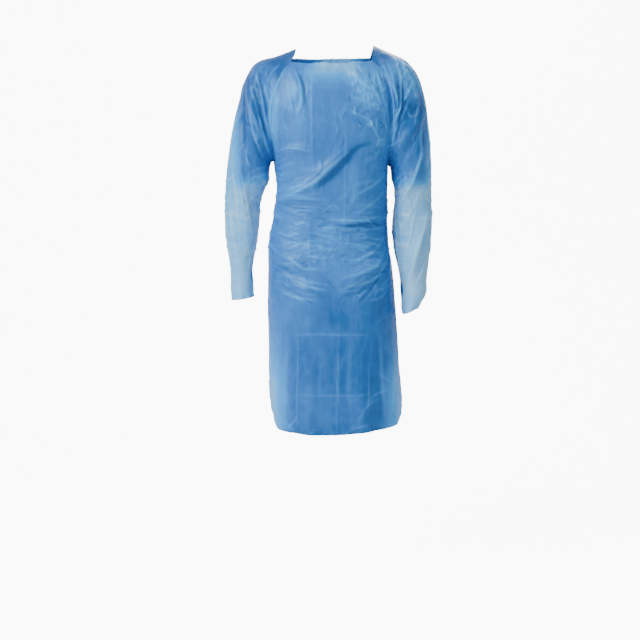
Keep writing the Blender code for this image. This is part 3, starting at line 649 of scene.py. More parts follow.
LENS = 73.8
SENSOR = 36.0
CAMERA_AT = (-0.041, -3.62, -0.348)
CAMERA_AIM = (-0.041, -0.05, -0.750)
LIGHT_COLOUR = (0.87, 0.96, 1.0)
LAMPS = (  # name, place, aim, size and watts
    ("key", (-2.6, -2.3, 1.3), (0, 0, -0.45), 2.2, 205),
    ("glint", (1.9, -2.4, 1.9), (0.08, 0, -0.15), 0.5, 34),
    ("rim", (0.6, 2.2, 1.6), (0, 0, -0.4), 1.5, 60),
)
WHITE = 0.9
WHITE_GLOW = 9.0  # makes the studio plain white where the camera sees it
WORLD_LIGHT = 0.5
FLOOR = -1.47
SWEEP_WIDTH = 5.0  # half of it
SWEEP_FRONT = -5.0
SWEEP_BACK = 1.6
SWEEP_BEND = 1.2
SWEEP_TOP = 4.5
BEND_STEPS = 12


def columns(table):
    """A table as arrays by column name."""
    return dict(zip(table[0], np.array(table[1:], dtype=float).T))


def smooth(at, rows, values):
    """Values at `at` on the smooth curve through `values`, one for each of the rising `rows`."""
    slopes = np.gradient(values, rows, axis=0)
    at = np.clip(at, rows[0], rows[-1])
    low = np.clip(np.searchsorted(rows, at) - 1, 0, len(rows) - 2)
    step = rows[low + 1] - rows[low]
    t = (at - rows[low]) / step
    near = values[low] * (1 + 2 * t) * (1 - t) ** 2 + slopes[low] * step * t * (1 - t) ** 2
    far = values[low + 1] * t**2 * (3 - 2 * t) - slopes[low + 1] * step * t**2 * (1 - t)
    return near + far


RAGLAN_AT = columns(RAGLAN)
BODY_AT = {name: values[::-1] for name, values in columns(BODY).items()}  # z rising
HEM_AT = columns(HEM)
BACK_EDGE_AT = columns(BACK_EDGE)


def body(z, name):
    """Reach of the body at a height, to the side that is named."""
    return smooth(z, BODY_AT["z"], BODY_AT[name])


def power(value):
    """Signed power that squares off the body's oval."""
    return np.copysign(np.abs(value) ** SQUARENESS, value)


def seam_point(side, face, along):
    """Point on a raglan seam: side is left or right, face is front or back."""
    names = (side + "_x", face + "_y", side + "_z")
    point = np.array([smooth(along, RAGLAN_AT["along"], RAGLAN_AT[name]) for name in names])
    if face == "back":
        point[2] += BACK_NECK_RISE * (1 - along) ** 2
    return point


def yoke_row(face, along, turns):
    """A row of the front or back above the armpits: turns are -1 at the left seam, 1 at the right."""
    left = seam_point("left", face, along)
    right = seam_point("right", face, along)
    middle_z = (left[2] + right[2]) / 2
    reach = body(middle_z, face + "_y")
    depth = abs(reach)
    widest = math.acos((abs(left[1]) / depth) ** (1 / SQUARENESS))
    half = (right[0] - left[0]) / 2 / power(math.sin(widest))
    x = (left[0] + right[0]) / 2 + half * power(np.sin(widest * turns))
    y = reach * power(np.cos(widest * turns))
    share = (x - left[0]) / (right[0] - left[0])
    return np.stack([x, y, left[2] + share * (right[2] - left[2])], axis=1)


def skirt_row(turns, down):
    """A row of the body below the armpits: turns in degrees from the middle of the front."""
    angle = np.radians(turns)
    share = (1 + np.sin(angle)) / 2
    armpit = RAGLAN_AT["left_z"][-1] * (1 - share) + RAGLAN_AT["right_z"][-1] * share
    rise = [smooth(abs(turns), HEM_AT["turn"], HEM_AT[side]) for side in ("left", "right")]
    hem = FRONT_HEM + np.where(turns < 0, *rise)
    z = armpit + (hem - armpit) * down
    left = body(z, "left_x")
    right = body(z, "right_x")
    x = (left + right) / 2 + (right - left) / 2 * power(np.sin(angle))
    depth = np.where(np.cos(angle) > 0, body(z, "front_y"), -body(z, "back_y"))
    return np.stack([x, depth * power(np.cos(angle)), z], axis=1)


def side_turn(down):
    """Turn of the side seams, in degrees, which run back from the armpits."""
    return 90.0 + (SIDE_SEAM - 90.0) * min(1.0, down / SIDE_SLIP)


def with_edges(steps, first, last):
    """Even shares from 0 to 1, with two more beside each end that is sealed to a neighbour."""
    shares = np.linspace(0, 1, steps + 1)
    close = np.array(EDGE_STEPS) / steps
    extra = [close] * first + [1 - close] * last
    return np.sort(np.concatenate([shares, *extra]))


def front_grid():
    """The front panel: rows from the neckline to the hem, columns from left to right."""
    turns = with_edges(FRONT_COLUMNS, True, True) * 2 - 1
    turns -= MIDDLE_CLOSER * np.sin(math.pi * turns) / math.pi
    rows = [yoke_row("front", r / SEAM_ROWS, turns) for r in range(SEAM_ROWS + 1)]
    for number, row in enumerate(rows):
        sag = NECK_SAG * math.exp(-((number / NECK_SAG_ROWS) ** 2))
        row[:, 2] -= sag * (1 - turns**2) * (1 + NECK_SAG_WAVE * np.sin(9 * turns))
    for row in range(1, BODY_ROWS + 1):
        down = row / BODY_ROWS
        rows.append(skirt_row(side_turn(down) * turns, down))
    return np.array(rows)


def back_grid(sign):
    """A back half, from its side edge to its free edge. sign is -1 for the left one."""
    shares = with_edges(BACK_COLUMNS, True, True)
    rows = []
    for row in range(SEAM_ROWS + 1):
        along = row / SEAM_ROWS
        edge = smooth(along, BACK_EDGE_AT["down"], BACK_EDGE_AT["turn"])
        free = 0.0 if along <= SEALED_BACK else (180 - edge) / 90
        rows.append(yoke_row("back", along, sign * (1 - shares * (1 - free))))
    for row in range(1, BODY_ROWS + 1):
        down = row / BODY_ROWS
        edge = smooth(1 + down, BACK_EDGE_AT["down"], BACK_EDGE_AT["turn"])
        side = side_turn(down)
        rows.append(skirt_row(sign * (side + (edge - side) * shares), down))
    return np.array(rows)


def armhole_ring(side, top):
    """First ring of a sleeve: down the front seam, up the back one and over the neck edge."""
    shares = np.arange(SEAM_ROWS + 1) / SEAM_ROWS
    ring = [seam_point(side, "front", share) for share in shares]
    ring += [seam_point(side, "back", 1 - share) for share in shares[1:]]
    crown = np.array([top[0], 0.0, top[1]])
    for u in 1 - 2 * np.arange(1, NECK_COLUMNS) / NECK_COLUMNS:
        corner = ring[2 * SEAM_ROWS] if u > 0 else ring[0]
        point = crown + (corner - crown) * u**2
        point[1] = corner[1] * abs(u)
        ring.append(point)
    return np.array(ring)


def sleeve_ring(row):
    """A closed section with the columns of the armhole ring."""
    count = 2 * SEAM_ROWS + NECK_COLUMNS
    outer = np.array([row["outer_x"], row["middle_y"], row["outer_z"]])
    inner = np.array([row["inner_x"], row["middle_y"], row["inner_z"]])
    angle = np.radians(NECK_CORNER_TURN + np.arange(count) * 360 / count)
    points = (outer + inner) / 2 + (outer - inner) / 2 * np.cos(angle)[:, None]
    points[:, 0] += row["bow"] * np.sin(angle) ** 2
    points[:, 1] -= np.where(np.sin(angle) > 0, row["front"], row["back"]) * np.sin(angle)
    return points


def sleeve_grid(side, top, table):
    """A sleeve's rings, and where each lies between the table's sections."""
    rings = [armhole_ring(side, top)]
    rings += [sleeve_ring(dict(zip(table[0], row))) for row in table[1:]]
    sections = np.arange(len(rings), dtype=float)
    fine = with_edges((len(rings) - 1) * RINGS_PER_SECTION, True, False) * (len(rings) - 1)
    return np.array([smooth(at, sections, np.array(rings)) for at in fine]), fine


def quads(grid, closed):
    """Faces of a grid as rows of four point numbers, turned as in the CAD part."""
    rows, across = grid.shape[:2]
    row, column = np.meshgrid(
        np.arange(rows - 1), np.arange(across if closed else across - 1), indexing="ij"
    )
    after = (column + 1) % across
    low, high = row * across, (row + 1) * across
    return np.stack([low + column, high + column, high + after, low + after], axis=-1)


class Patch:
    """One sheet: its grid of points, its faces and which of them are kept."""

    def __init__(self, name, grid, closed=False, flipped=False):
        self.name = name
        self.shape = grid.shape[:2]
        self.points = grid.reshape(-1, 3).copy()
        self.faces = quads(grid, closed)
        if flipped:
            self.faces = self.faces[..., ::-1]
        self.kept = np.ones(self.faces.shape[:2], dtype=bool)

    def used(self):
        return self.faces[self.kept]

    def rim(self, row=None, column=None):
        """Point numbers along one row or one column."""
        numbers = np.arange(len(self.points)).reshape(self.shape)
        return numbers[row] if column is None else numbers[:, column]


def weld(patches):
    """For each patch, the index of each point in one list where seam points are shared."""
    every = np.concatenate([patch.points for patch in patches])
    _, link = np.unique(np.round(every * WELD_SCALE).astype(np.int64), axis=0, return_inverse=True)
    ends = np.cumsum([len(patch.points) for patch in patches])[:-1]
    return np.split(link.reshape(-1), ends)


def set_normals(patches, links):
    """Outward normals that neighbours share along their seams."""
    total = np.zeros((max(link.max() for link in links) + 1, 3))
    for patch, link in zip(patches, links):
        faces = patch.faces.reshape(-1, 4)
        a, b, c, d = (patch.points[faces[:, corner]] for corner in range(4))
        across = np.cross(c - a, d - b)
        for corner in range(4):
            np.add.at(total, link[faces[:, corner]], across)
    total /= np.maximum(np.linalg.norm(total, axis=1), 1e-15)[:, None]
    for patch, link in zip(patches, links):
        patch.normals = total[link]


def share_lift(patches, links, lifts):
    """Moves the points along their normals, the same way on both sides of a seam."""
    total = np.zeros(max(link.max() for link in links) + 1)
    count = np.zeros_like(total)
    for link, lift in zip(links, lifts):
        np.add.at(total, link, lift)
        np.add.at(count, link, 1)
    total /= count
    for patch, link in zip(patches, links):
        patch.points += patch.normals * total[link][:, None]
    set_normals(patches, links)


def drawn(side, points):
    """The two coordinates in which strokes on that side are drawn."""
    return points[:, [DRAWN[side][0], 2]]


def shown(side, normals):
    """How far each normal faces that side, from 0 to 1."""
    _, axis, sign = DRAWN[side]
    return np.clip(sign * normals[:, axis] * FOLD_FADE, 0, 1)


def calm(points):
    """Fades folds out round the armpits, as in the CAD part."""
    share = np.ones(len(points))
    for side in ("left", "right"):
        near = np.linalg.norm(points - seam_point(side, "front", 1.0), axis=1) / ARMPIT_CALM
        share *= np.clip(near, 0, 1) ** 2
    return share


def fold_lift(patch):
    """The CAD part's folds."""
    flat = patch.points[:, [0, 2]]
    lift = np.zeros(len(flat))
    for side, folds in FOLDS.items():
        seen = shown(side, patch.normals)
        for fold in folds:
            start_x, start_z, end_x, end_z, width, height = np.array(fold) * MM
            start = np.array([start_x, start_z])
            run = np.array([end_x, end_z]) - start
            along = np.clip((flat - start) @ run / (run @ run), 0, 1)
            away = np.linalg.norm(flat - start - along[:, None] * run, axis=1)
            taper = FOLD_ENDS + (1 - FOLD_ENDS) * np.sin(math.pi * along)
            lift += height * taper * np.exp(-((away / width) ** 2)) * seen
    return lift * calm(patch.points)


def smooth_line(points):
    """A stroke's points, in metres, with more between them on a smooth curve."""
    points = points * MM
    if len(points) < 3:
        return points
    rows = np.arange(len(points), dtype=float)
    fine = np.linspace(0, len(points) - 1, (len(points) - 1) * LINE_STEPS + 1)
    return np.stack([smooth(fine, rows, points[:, axis]) for axis in range(2)], axis=1)


def zone_share(patch, zones):
    """The greatest strength of the zones at each point, easing off to 0 round them."""
    x, z = patch.points[:, 0], patch.points[:, 2]
    share = np.zeros(len(x))
    for side, rows in zones.items():
        seen = shown(side, patch.normals)
        for at_x, at_z, reach_x, reach_z, strength in rows:
            away = ((x / MM - at_x) / reach_x) ** 2 + ((z / MM - at_z) / reach_z) ** 2
            share = np.maximum(share, strength * np.exp(-(away**2)) * seen)
    return share


def placed_strokes():
    """The listed creases, each with its side and its points in pairs."""
    return [
        (side, width, height, lap, np.reshape(points, (-1, 2)))
        for side, rows in CREASES.items()
        for width, height, lap, *points in rows
    ]


def random_stroke(random, x, z, angle, spread, length, width, height):
    """One wrinkle of a field: half width, height, lap and points."""
    middle = np.array([random.uniform(*x), random.uniform(*z)])
    angle = math.radians(angle + random.normal(0, 0.5) * spread)
    half = random.uniform(*length) / 2
    run = np.array([math.cos(angle), math.sin(angle)]) * half
    bend = np.array([-run[1], run[0]]) * random.normal(0, BEND) * 2
    lap = random.choice(FIELD_LAPS)
    height = random.uniform(*height) * random.choice(FIELD_SIGNS)
    width = random.uniform(*width)
    return width, height, lap, np.array([middle - run, middle + bend, middle + run])


def field_strokes():
    """Random wrinkles of every field, as the creases are given."""
    random = np.random.default_rng(SEED)
    return [
        (side, *random_stroke(random, *ranges))
        for side, rows in FIELDS.items()
        for count, *ranges in rows
        for _ in range(count)
    ]


def place_on(line, flat):
    """For each point, how far from the line it lies, how far to its left and how far along."""
    runs = np.diff(line, axis=0)
    lengths = np.linalg.norm(runs, axis=1)
    before = np.concatenate([[0], np.cumsum(lengths)])
    best = np.full(len(flat), np.inf)
    offset = np.zeros(len(flat))
    place = np.zeros(len(flat))
    for start, run, length, so_far in zip(line, runs, lengths, before):
        along = np.clip((flat - start) @ run / length**2, 0, 1)
        gap = flat - start - along[:, None] * run
        away = np.linalg.norm(gap, axis=1)
        closer = away < best
        best[closer] = away[closer]
        offset[closer] = ((gap @ (-run[1], run[0])) / length)[closer]
        place[closer] = ((so_far + along * length) / before[-1])[closer]
    return best, offset, place


def crease_profile(away, offset, width, lap):
    """Height across a crease of height 1: a ridge, or a ridge and a trough where it laps."""
    blunt = CREST * width
    ridge = np.exp((blunt - np.hypot(away, blunt)) / width - (away / width / CREASE_REACH) ** 2)
    rolled = offset / width * np.exp(0.5 - (offset / width) ** 2 / 2) * ridge
    return (1 - abs(lap)) * ridge + LAP_DEPTH * lap * rolled


def crease_lift(patch, strokes):
    """Lift of every point by the strokes.

    Also how sharply each point stands on a crest, above 0, or in a trough, below 0, which the
    material paints as highlight and shade.
    """
    lift = np.zeros(len(patch.points))
    crest = np.zeros(len(patch.points))
    flats = {side: drawn(side, patch.points) for side in DRAWN}
    for side, width, height, lap, points in strokes:
        line = smooth_line(points)
        width, height = width * MM, height * MM
        low, high = line.min(axis=0) - 3 * width, line.max(axis=0) + 3 * width
        near = np.flatnonzero(((flats[side] > low) & (flats[side] < high)).all(axis=1))
        seen = shown(side, patch.normals[near])
        near, seen = near[seen > 0], seen[seen > 0]
        if not len(near):
            continue
        away, offset, place = place_on(line, flats[side][near])
        taper = CREASE_ENDS + (1 - CREASE_ENDS) * np.sin(math.pi * place) ** CREASE_TAPER
        profile = crease_profile(away, offset, width, lap)
        raised = height * taper * profile * seen
        lift[near] += raised
        crest[near] += raised * np.abs(profile)
    left = ARMPIT_CREASES + (1 - ARMPIT_CREASES) * calm(patch.points)
    return lift * left, crest / LIFT_UNIT


def billow_lift(patch):
    """Soft unevenness of the whole sheet."""
    lift = np.zeros(len(patch.points))
    for index, point in enumerate(patch.points):
        for pitch, height in BILLOWS:
            lift[index] += height * noise.noise(Vector(point) / pitch + Vector((pitch, 0, 7)))
    return lift * calm(patch.points)


def near_lift(patch, tree, reach, lift_at):
    """Lift of the points within reach of the tree's, by where and how far away they are."""
    lift = np.zeros(len(patch.points))
    for index, point in enumerate(patch.points):
        away = tree.find(point)[2]
        if away < reach:
            lift[index] = lift_at(Vector(point), away)
    return lift


def seam_lift(point, away):
    """The lip that a sealed edge stands up in, and the small puckers beside it."""
    wave = sum(weight * noise.noise(point * scale) for scale, weight in PUCKER_NOISE)
    pucker = PUCKER * wave * math.exp(-away / PUCKER_REACH)
    return LIP * math.exp(-((away / LIP_REACH) ** 2)) + pucker


def rim_lift(point, away):
    """The waves in which free edges stand."""
    wave = noise.noise(point / RIM_PITCH) + 0.5 * noise.noise(point * 2 / RIM_PITCH)
    return RIM_HEIGHT * wave * math.exp(-away / RIM_REACH)


def tree_of(points):
    """Points made ready for finding the nearest one."""
    tree = kdtree.KDTree(len(points))
    for index, point in enumerate(points):
        tree.insert(point, index)
    tree.balance()
    return tree


def rim_tree(patches, seams):
    """Points of every free edge."""
    points = np.concatenate([patch.points[np.unique(border(patch.used()))] for patch in patches])
    return tree_of([point for point in points if seams.find(point)[2] > MM])


def seam_tree(patches):
    """Points of every seam, for finding how near a point is to one."""
    _, back_left, back_right, sleeve_left, sleeve_right = patches
    lines = [back.points[back.rim(column=0)] for back in (back_left, back_right)]
    sealed = int(SEALED_BACK * SEAM_ROWS) + 1
    lines.append(back_left.points[back_left.rim(column=-1)[:sealed]])
    for sleeve in (sleeve_left, sleeve_right):
        lines.append(sleeve.points[sleeve.rim(row=0)[: 2 * SEAM_ROWS + 1]])
    return tree_of(np.concatenate(lines))


def between(grid, fine, ring, column):
    """Point of a sleeve at a ring and a column between those of its grid."""
    row = min(int(np.searchsorted(fine, ring)) - 1, len(fine) - 2)
    down = (ring - fine[row]) / (fine[row + 1] - fine[row])
    left = int(column)
    over = column - left
    near = grid[row, left] * (1 - over) + grid[row, left + 1] * over
    far = grid[row + 1, left] * (1 - over) + grid[row + 1, left + 1] * over
    return near * (1 - down) + far * down


def open_thumb_hole(patch, fine):
    """Cuts an oval in a sleeve, and rounds its edge on the surface that was there."""
    across = patch.shape[1]
    centre_ring = fine[-1] + THUMB_CENTRE[1] / 2
    reach_ring = THUMB_REACH[1] / 2
    centre_column = THUMB_CENTRE[0] * across / SLEEVE_SIDES
    reach_column = THUMB_REACH[0] * across / SLEEVE_SIDES
    ring_away = ((fine[:-1] + fine[1:]) / 2 - centre_ring) / reach_ring
    column_away = (np.arange(across) + 0.5 - centre_column) / reach_column
    patch.kept = np.hypot(ring_away[:, None], column_away[None, :]) > 1.0
    source = patch.points.reshape(*patch.shape, 3)
    grid = source.copy()
    corners = {
        (row + down, column + over)
        for row, column in np.argwhere(~patch.kept)
        for down in (0, 1)
        for over in (0, 1)
    }
    for row, column in corners:
        if patch.kept[max(row - 1, 0) : row + 1, max(column - 1, 0) : column + 1].any():
            down = (fine[row] - centre_ring) / reach_ring
            over = (column - centre_column) / reach_column
            scale = 1.0 / math.hypot(down, over)
            ring = centre_ring + down * scale * reach_ring
            grid[row, column] = between(
                source, fine, ring, centre_column + over * scale * reach_column
            )
    patch.points = grid.reshape(-1, 3)


def border(faces):
    """Directed edges that only one face has."""
    edges = np.concatenate([faces[:, [i, (i + 1) % 4]] for i in range(4)])
    size = edges.max() + 1
    forward = edges[:, 0] * size + edges[:, 1]
    backward = edges[:, 1] * size + edges[:, 0]
    return edges[~np.isin(forward, backward)]


def draw_back(patch):
    """The patch's points, with its border moved in by half the seam gap."""
    edges = border(patch.used())
    points = patch.points.copy()
    away = np.cross(patch.normals[edges[:, 0]], points[edges[:, 1]] - points[edges[:, 0]])
    away /= np.linalg.norm(away, axis=1)[:, None]
    inward = np.zeros_like(points)
    for end in (0, 1):
        np.add.at(inward, edges[:, end], away)
    moved = np.unique(edges)
    inward = inward[moved] / np.linalg.norm(inward[moved], axis=1)[:, None]
    points[moved] += inward * SEAM_GAP / 2
    return points


def add_object(name, points, faces, material, tones=None):
    """A smooth mesh, with numbers at its points that the material reads."""
    mesh = bpy.data.meshes.new(name)
    mesh.from_pydata(points.tolist(), [], [list(face) for face in faces])
    mesh.materials.append(material)
    mesh.shade_smooth()
    for label, values in (tones or {}).items():
        attribute = mesh.attributes.new(label, "FLOAT", "POINT")
        attribute.data.foreach_set("value", values.astype(np.float32))
    made = bpy.data.objects.new(name, mesh)
    bpy.context.scene.collection.objects.link(made)
    return made


def add_shell(name, points, normals, faces, thickness, material, tones):
    """A closed shell centred on the given surface."""
    used, place = np.unique(faces, return_inverse=True)
    faces = place.reshape(-1, 4)
    half = normals[used] * thickness / 2
    both = np.concatenate([points[used] + half, points[used] - half])
    count = len(used)
    edges = border(faces)
    rims = np.stack([edges[:, 1], edges[:, 0], edges[:, 0] + count, edges[:, 1] + count], axis=1)
    every = np.concatenate([faces, faces[:, ::-1] + count, rims])
    doubled = {label: np.tile(values[used], 2) for label, values in tones.items()}
    return add_object(name, both, every.tolist(), material, doubled)


class Nodes:
    """Short ways to add shader nodes to a material and link them."""

    def __init__(self, name):
        self.material = bpy.data.materials.new(name)
        self.material.use_nodes = True
        self.tree = self.material.node_tree
        self.shader = self.tree.nodes["Principled BSDF"]
        self.output = self.tree.nodes["Material Output"]

    def add(self, kind, links=(), **settings):
        """A node with its settings, and its inputs set or linked."""
        node = self.tree.nodes.new(kind)
        for name, value in settings.items():
            setattr(node, name, value)
        for socket, value in dict(links).items():
            self.join(value, node.inputs[socket])
        return node

    def join(self, value, socket):
        if isinstance(value, bpy.types.NodeSocket):
            self.tree.links.new(value, socket)
        else:
            socket.default_value = value

    def math(self, operation, *values):
        return self.add("ShaderNodeMath", enumerate(values), operation=operation).outputs[0]

    def noise(self, at, scale, detail=3.0):
        links = {"Vector": at, "Scale": scale, "Detail": detail}
        return self.add("ShaderNodeTexNoise", links).outputs[0]

    def ridges(self, at, scale):
        """Sharp crossing lines, as in crumpled film, from about 0 to 1."""
        links = {"Vector": at, "Scale": scale, "Offset": RIDGE_OFFSET}
        kind = "RIDGED_MULTIFRACTAL"
        return self.add("ShaderNodeTexNoise", links, noise_type=kind, normalize=True).outputs[0]

    def mixed(self, share, first, second):
        return self.add("ShaderNodeMix", {0: share, 2: first, 3: second}).outputs[0]

    def stretched(self, scale):
        """Object coordinates scaled differently along each axis."""
        place = self.add("ShaderNodeTexCoord").outputs["Object"]
        return self.add("ShaderNodeMapping", {"Vector": place, "Scale": scale}).outputs[0]

    def ramp(self, value, stops):
        node = self.add("ShaderNodeValToRGB", {"Fac": value})
        elements = node.color_ramp.elements
        while len(elements) < len(stops):
            elements.new(0.5)
        for element, (place, colour) in zip(elements, stops):
            element.position = place
            element.color = (*colour, 1)
        return node.outputs[0]

    def attribute(self, name):
        return self.add("ShaderNodeAttribute", attribute_name=name).outputs["Fac"]


def film_lines(nodes, place):
    """The finest wrinkles, which are too small for the mesh, from about 0 to 1."""
    down = nodes.ridges(nodes.stretched(DOWN_AXES), DOWN_SCALE)
    over = nodes.ridges(nodes.stretched(OVER_AXES), OVER_SCALE)
    crumple = nodes.ridges(place, CRUMPLE_SCALE)
    lines = nodes.mixed(nodes.attribute("across"), down, over)
    return nodes.mixed(nodes.attribute("crinkle"), lines, crumple)


def film_tone(nodes, place, lines):
    """How pale the film is, from 0 to 1, with painted highlights on crests and lifted film and
    painted shade in troughs.
    """
    tone = nodes.attribute("free")
    # painted highlights on crests and lifted film, painted shade in troughs
    for name, weight in (("crest", PAINTED_CREST_WEIGHT), ("lift", PAINTED_LIFT_WEIGHT)):
        tone = nodes.math("MULTIPLY_ADD", nodes.attribute(name), weight, tone)
    clouds = nodes.noise(place, CLOUD_SCALE)
    grain = nodes.noise(place, GRAIN_SCALE)
    for value, weight in ((clouds, CLOUD_TONE), (grain, GRAIN_TONE), (lines, LINE_TONE)):
        tone = nodes.math("MULTIPLY_ADD", nodes.math("SUBTRACT", value, 0.5), weight, tone)
    return tone


def make_film(name):
    """Thin film: deep blue where it lies close, paler and hazier where it stands free; its colour
    also holds painted highlights and painted shade.
    """
    nodes = Nodes(name)
    sockets = nodes.shader.inputs
    place = nodes.stretched((1, 1, 1))
    lines = film_lines(nodes, place)
    colour = nodes.ramp(film_tone(nodes, place, lines), TONES)
    patches = nodes.noise(place, GLOSS_SCALE, 2.0)
    strength = nodes.math("MULTIPLY_ADD", nodes.attribute("crinkle"), BUMP_RANGE, BUMP_LOW)
    links = {"Height": lines, "Strength": strength, "Distance": BUMP_DEPTH}
    bump = nodes.add("ShaderNodeBump", links).outputs[0]
    nodes.join(colour, sockets["Base Color"])
    nodes.join(nodes.math("MULTIPLY_ADD", patches, GLOSS_RANGE, GLOSS_LOW), sockets["Roughness"])
    nodes.join(bump, sockets["Normal"])
    sockets["Specular IOR Level"].default_value = SPECULAR
    sockets["Specular Tint"].default_value = SPECULAR_TINT
    through = nodes.add("ShaderNodeBsdfTranslucent", {"Color": colour, "Normal": bump})
    shaders = {0: THROUGH, 1: nodes.shader.outputs[0], 2: through.outputs[0]}
    mix = nodes.add("ShaderNodeMixShader", shaders)
    nodes.join(mix.outputs[0], nodes.output.inputs["Surface"])
    return nodes.material


def ease(value, start, end):
    """0 before start, 1 past end, smooth between."""
    share = np.clip((value - start) / (end - start), 0, 1)
    return share * share * (3 - 2 * share)


def free_on_sleeve(patch):
    """Pale on the forearm, and along the outer rim above it."""
    x, y, z = patch.points.T
    slant = FOREARM_SLANTS[patch.name] * (x - FOREARM_PIVOT)
    forearm = ease(slant - z, *FOREARM_BANDS[patch.name])
    rim = ease(np.abs(x), *RIM_BANDS[patch.name]) * (1 - RIM_FADE * ease(y, *RIM_FADE_BAND))
    free = SLEEVE_TONE + FOREARM_TONE * forearm + RIM_TONE * rim * (1 - forearm)
    for tone, start, end in SLEEVE_BANDS:
        free += tone * ease(-z, start, end)
    return free


def body_paleness_and_shade(patch):
    """Pale at the neck and at the sides of the skirt, with painted shade deeper in the lower middle
    of the skirt and at the right hip.
    """
    x, y, z = patch.points.T
    out, down = np.abs(x), -z
    foot = ease(down, *FOOT_BAND)
    side = np.where(x < 0, *(ease(out, *band) for band in SIDE_BANDS))
    neck = (1 - ease(down, *NECK_BAND)) * (1 - ease(out, *NECK_REACH))
    free = BODY_TONE + np.where(x < 0, *FOOT_TONES) * foot * side + NECK_TONE * neck
    # painted shade, deeper towards the foot of the skirt's middle and at the right hip
    free += SKIRT_PAINTED_SHADE * ease(down, *SKIRT_BAND) * (1 - side)
    free += HIP_PAINTED_SHADE * ease(x, *HIP_REACH) * ease(down, *HIP_BAND) * (1 - foot)
    if patch.name.startswith("back"):
        free += BACK_TONE * ease(down, *BACK_BAND) * ease(y, *BACK_REACH)
    return free


def paleness_and_painted_light(patch):
    """How pale the film is: 0 where it lies close to what it covers, 1 where it hangs free; painted
    highlights and painted shade are added in.
    """
    sleeve = patch.name.startswith("sleeve")
    free = free_on_sleeve(patch) if sleeve else body_paleness_and_shade(patch)
    # paler stretched film, with painted highlights
    return free + zone_share(patch, STRETCH_AND_SHEEN)


def make_patches():
    """The five sheets on the CAD part's smooth form, and where the sleeves' rings lie."""
    left, fine = sleeve_grid("left", NECK_TOP_LEFT, LEFT_SLEEVE)
    right, _ = sleeve_grid("right", NECK_TOP_RIGHT, RIGHT_SLEEVE)
    patches = [
        Patch("front_panel", front_grid()),
        Patch("back_left", back_grid(-1), flipped=True),
        Patch("back_right", back_grid(1)),
        Patch("sleeve_left", left, closed=True),
        Patch("sleeve_right", right, closed=True, flipped=True),
    ]
    return patches, fine


def set_tones(patch, crest, lift):
    """What the material reads at each point."""
    free = paleness_and_painted_light(patch)
    patch.tones = {
        # painted highlights on crests and painted shade in troughs, weaker where the film is pale
        "crest": crest * (1 - FREE_CALM * np.clip(free, 0, 1)),
        "lift": lift / LIFT_UNIT,
        # the film's paleness, with painted highlights and painted shade in it
        "free": free,
        "crinkle": zone_share(patch, CRINKLE),
        "across": zone_share(patch, ACROSS),
    }


def shape_patches(patches):
    """Raises the CAD part's folds, and then the creases and all that is smaller."""
    links = weld(patches)
    set_normals(patches, links)
    share_lift(patches, links, [fold_lift(patch) for patch in patches])
    strokes = placed_strokes() + field_strokes()
    seams = seam_tree(patches)
    rims = rim_tree(patches, seams)
    lifts = []
    for patch in patches:
        creases, crest = crease_lift(patch, strokes)
        edges = near_lift(patch, seams, 3 * PUCKER_REACH, seam_lift)
        edges += near_lift(patch, rims, 4 * RIM_REACH, rim_lift)
        lifts.append(creases + billow_lift(patch) + edges)
        set_tones(patch, crest, lifts[-1])
    share_lift(patches, links, lifts)


def make_gown():
    """The five sheets of the gown, each as a shell in place of its CAD node."""
    film = make_film("gown_film")
    patches, fine = make_patches()
    shape_patches(patches)
    for sleeve in patches[3:]:
        open_thumb_hole(sleeve, fine)
    for patch, (width, length, area, held) in zip(patches, CUTS):
        surface = (draw_back(patch), patch.normals, patch.used())
        piece = add_shell(patch.name + "_cloth", *surface, FILM, film, patch.tones)
        finish_piece(piece, patch.name)
    return patches


def finish_piece(piece, node):
    """Makes a piece move with the one body, and hides the CAD node that it stands for."""
    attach(piece, "root")
    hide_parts(node)


def on_column(patch, column, z):
    """Point and normal where a column of a sheet passes a height."""
    numbers = patch.rim(column=column)
    points, normals = patch.points[numbers], patch.normals[numbers]
    order = np.argsort(points[:, 2])
    heights = points[order, 2]
    point = np.array([np.interp(z, heights, points[order, axis]) for axis in range(3)])
    normal = np.array([np.interp(z, heights, normals[order, axis]) for axis in range(3)])
    return point, normal / np.linalg.norm(normal)


def grid_normals(grid, flip):
    """Normals of a strip's points, turned over where flip is -1."""
    normals = np.cross(np.gradient(grid, axis=1), np.gradient(grid, axis=0)) * flip
    return normals / np.linalg.norm(normals, axis=2, keepdims=True)


def add_strip(name, grid, flip, film, crest, free):
    """A strip of film over a grid of points, as a thin closed shell of one tone, with painted
    highlights on its crests and painted shade between them.
    """
    faces = quads(grid, False)[..., ::flip].reshape(-1, 4)
    normals = grid_normals(grid, flip).reshape(-1, 3)
    tones = {"crest": crest.reshape(-1), "free": np.full(crest.size, free)}
    piece = add_shell(
        name + "_cloth", grid.reshape(-1, 3), normals, faces, TIE_FILM, film, tones
    )
    finish_piece(piece, name)
    return piece


def tuck_tie(grid, crest, sign, knot):
    """Sets a tie's last columns inside the knot."""
    last = grid.shape[1] - len(TIE_TUCKS) - 1
    shares = np.linspace(0.5, -0.5, len(grid))
    pleats = grid[:, last, 1] - grid[:, last, 1].mean()
    for column, (place, width) in enumerate(TIE_TUCKS, last + 1):
        grid[:, column, 0] = knot[0] + sign * KNOT_SIZE[0] * place
        grid[:, column, 1] = knot[1] + pleats * TIE_TUCK_DEPTH
        grid[:, column, 2] = TIE_Z + shares * TIE_WIDTH * TIE_NECK * width
        crest[:, column] = crest[:, last]


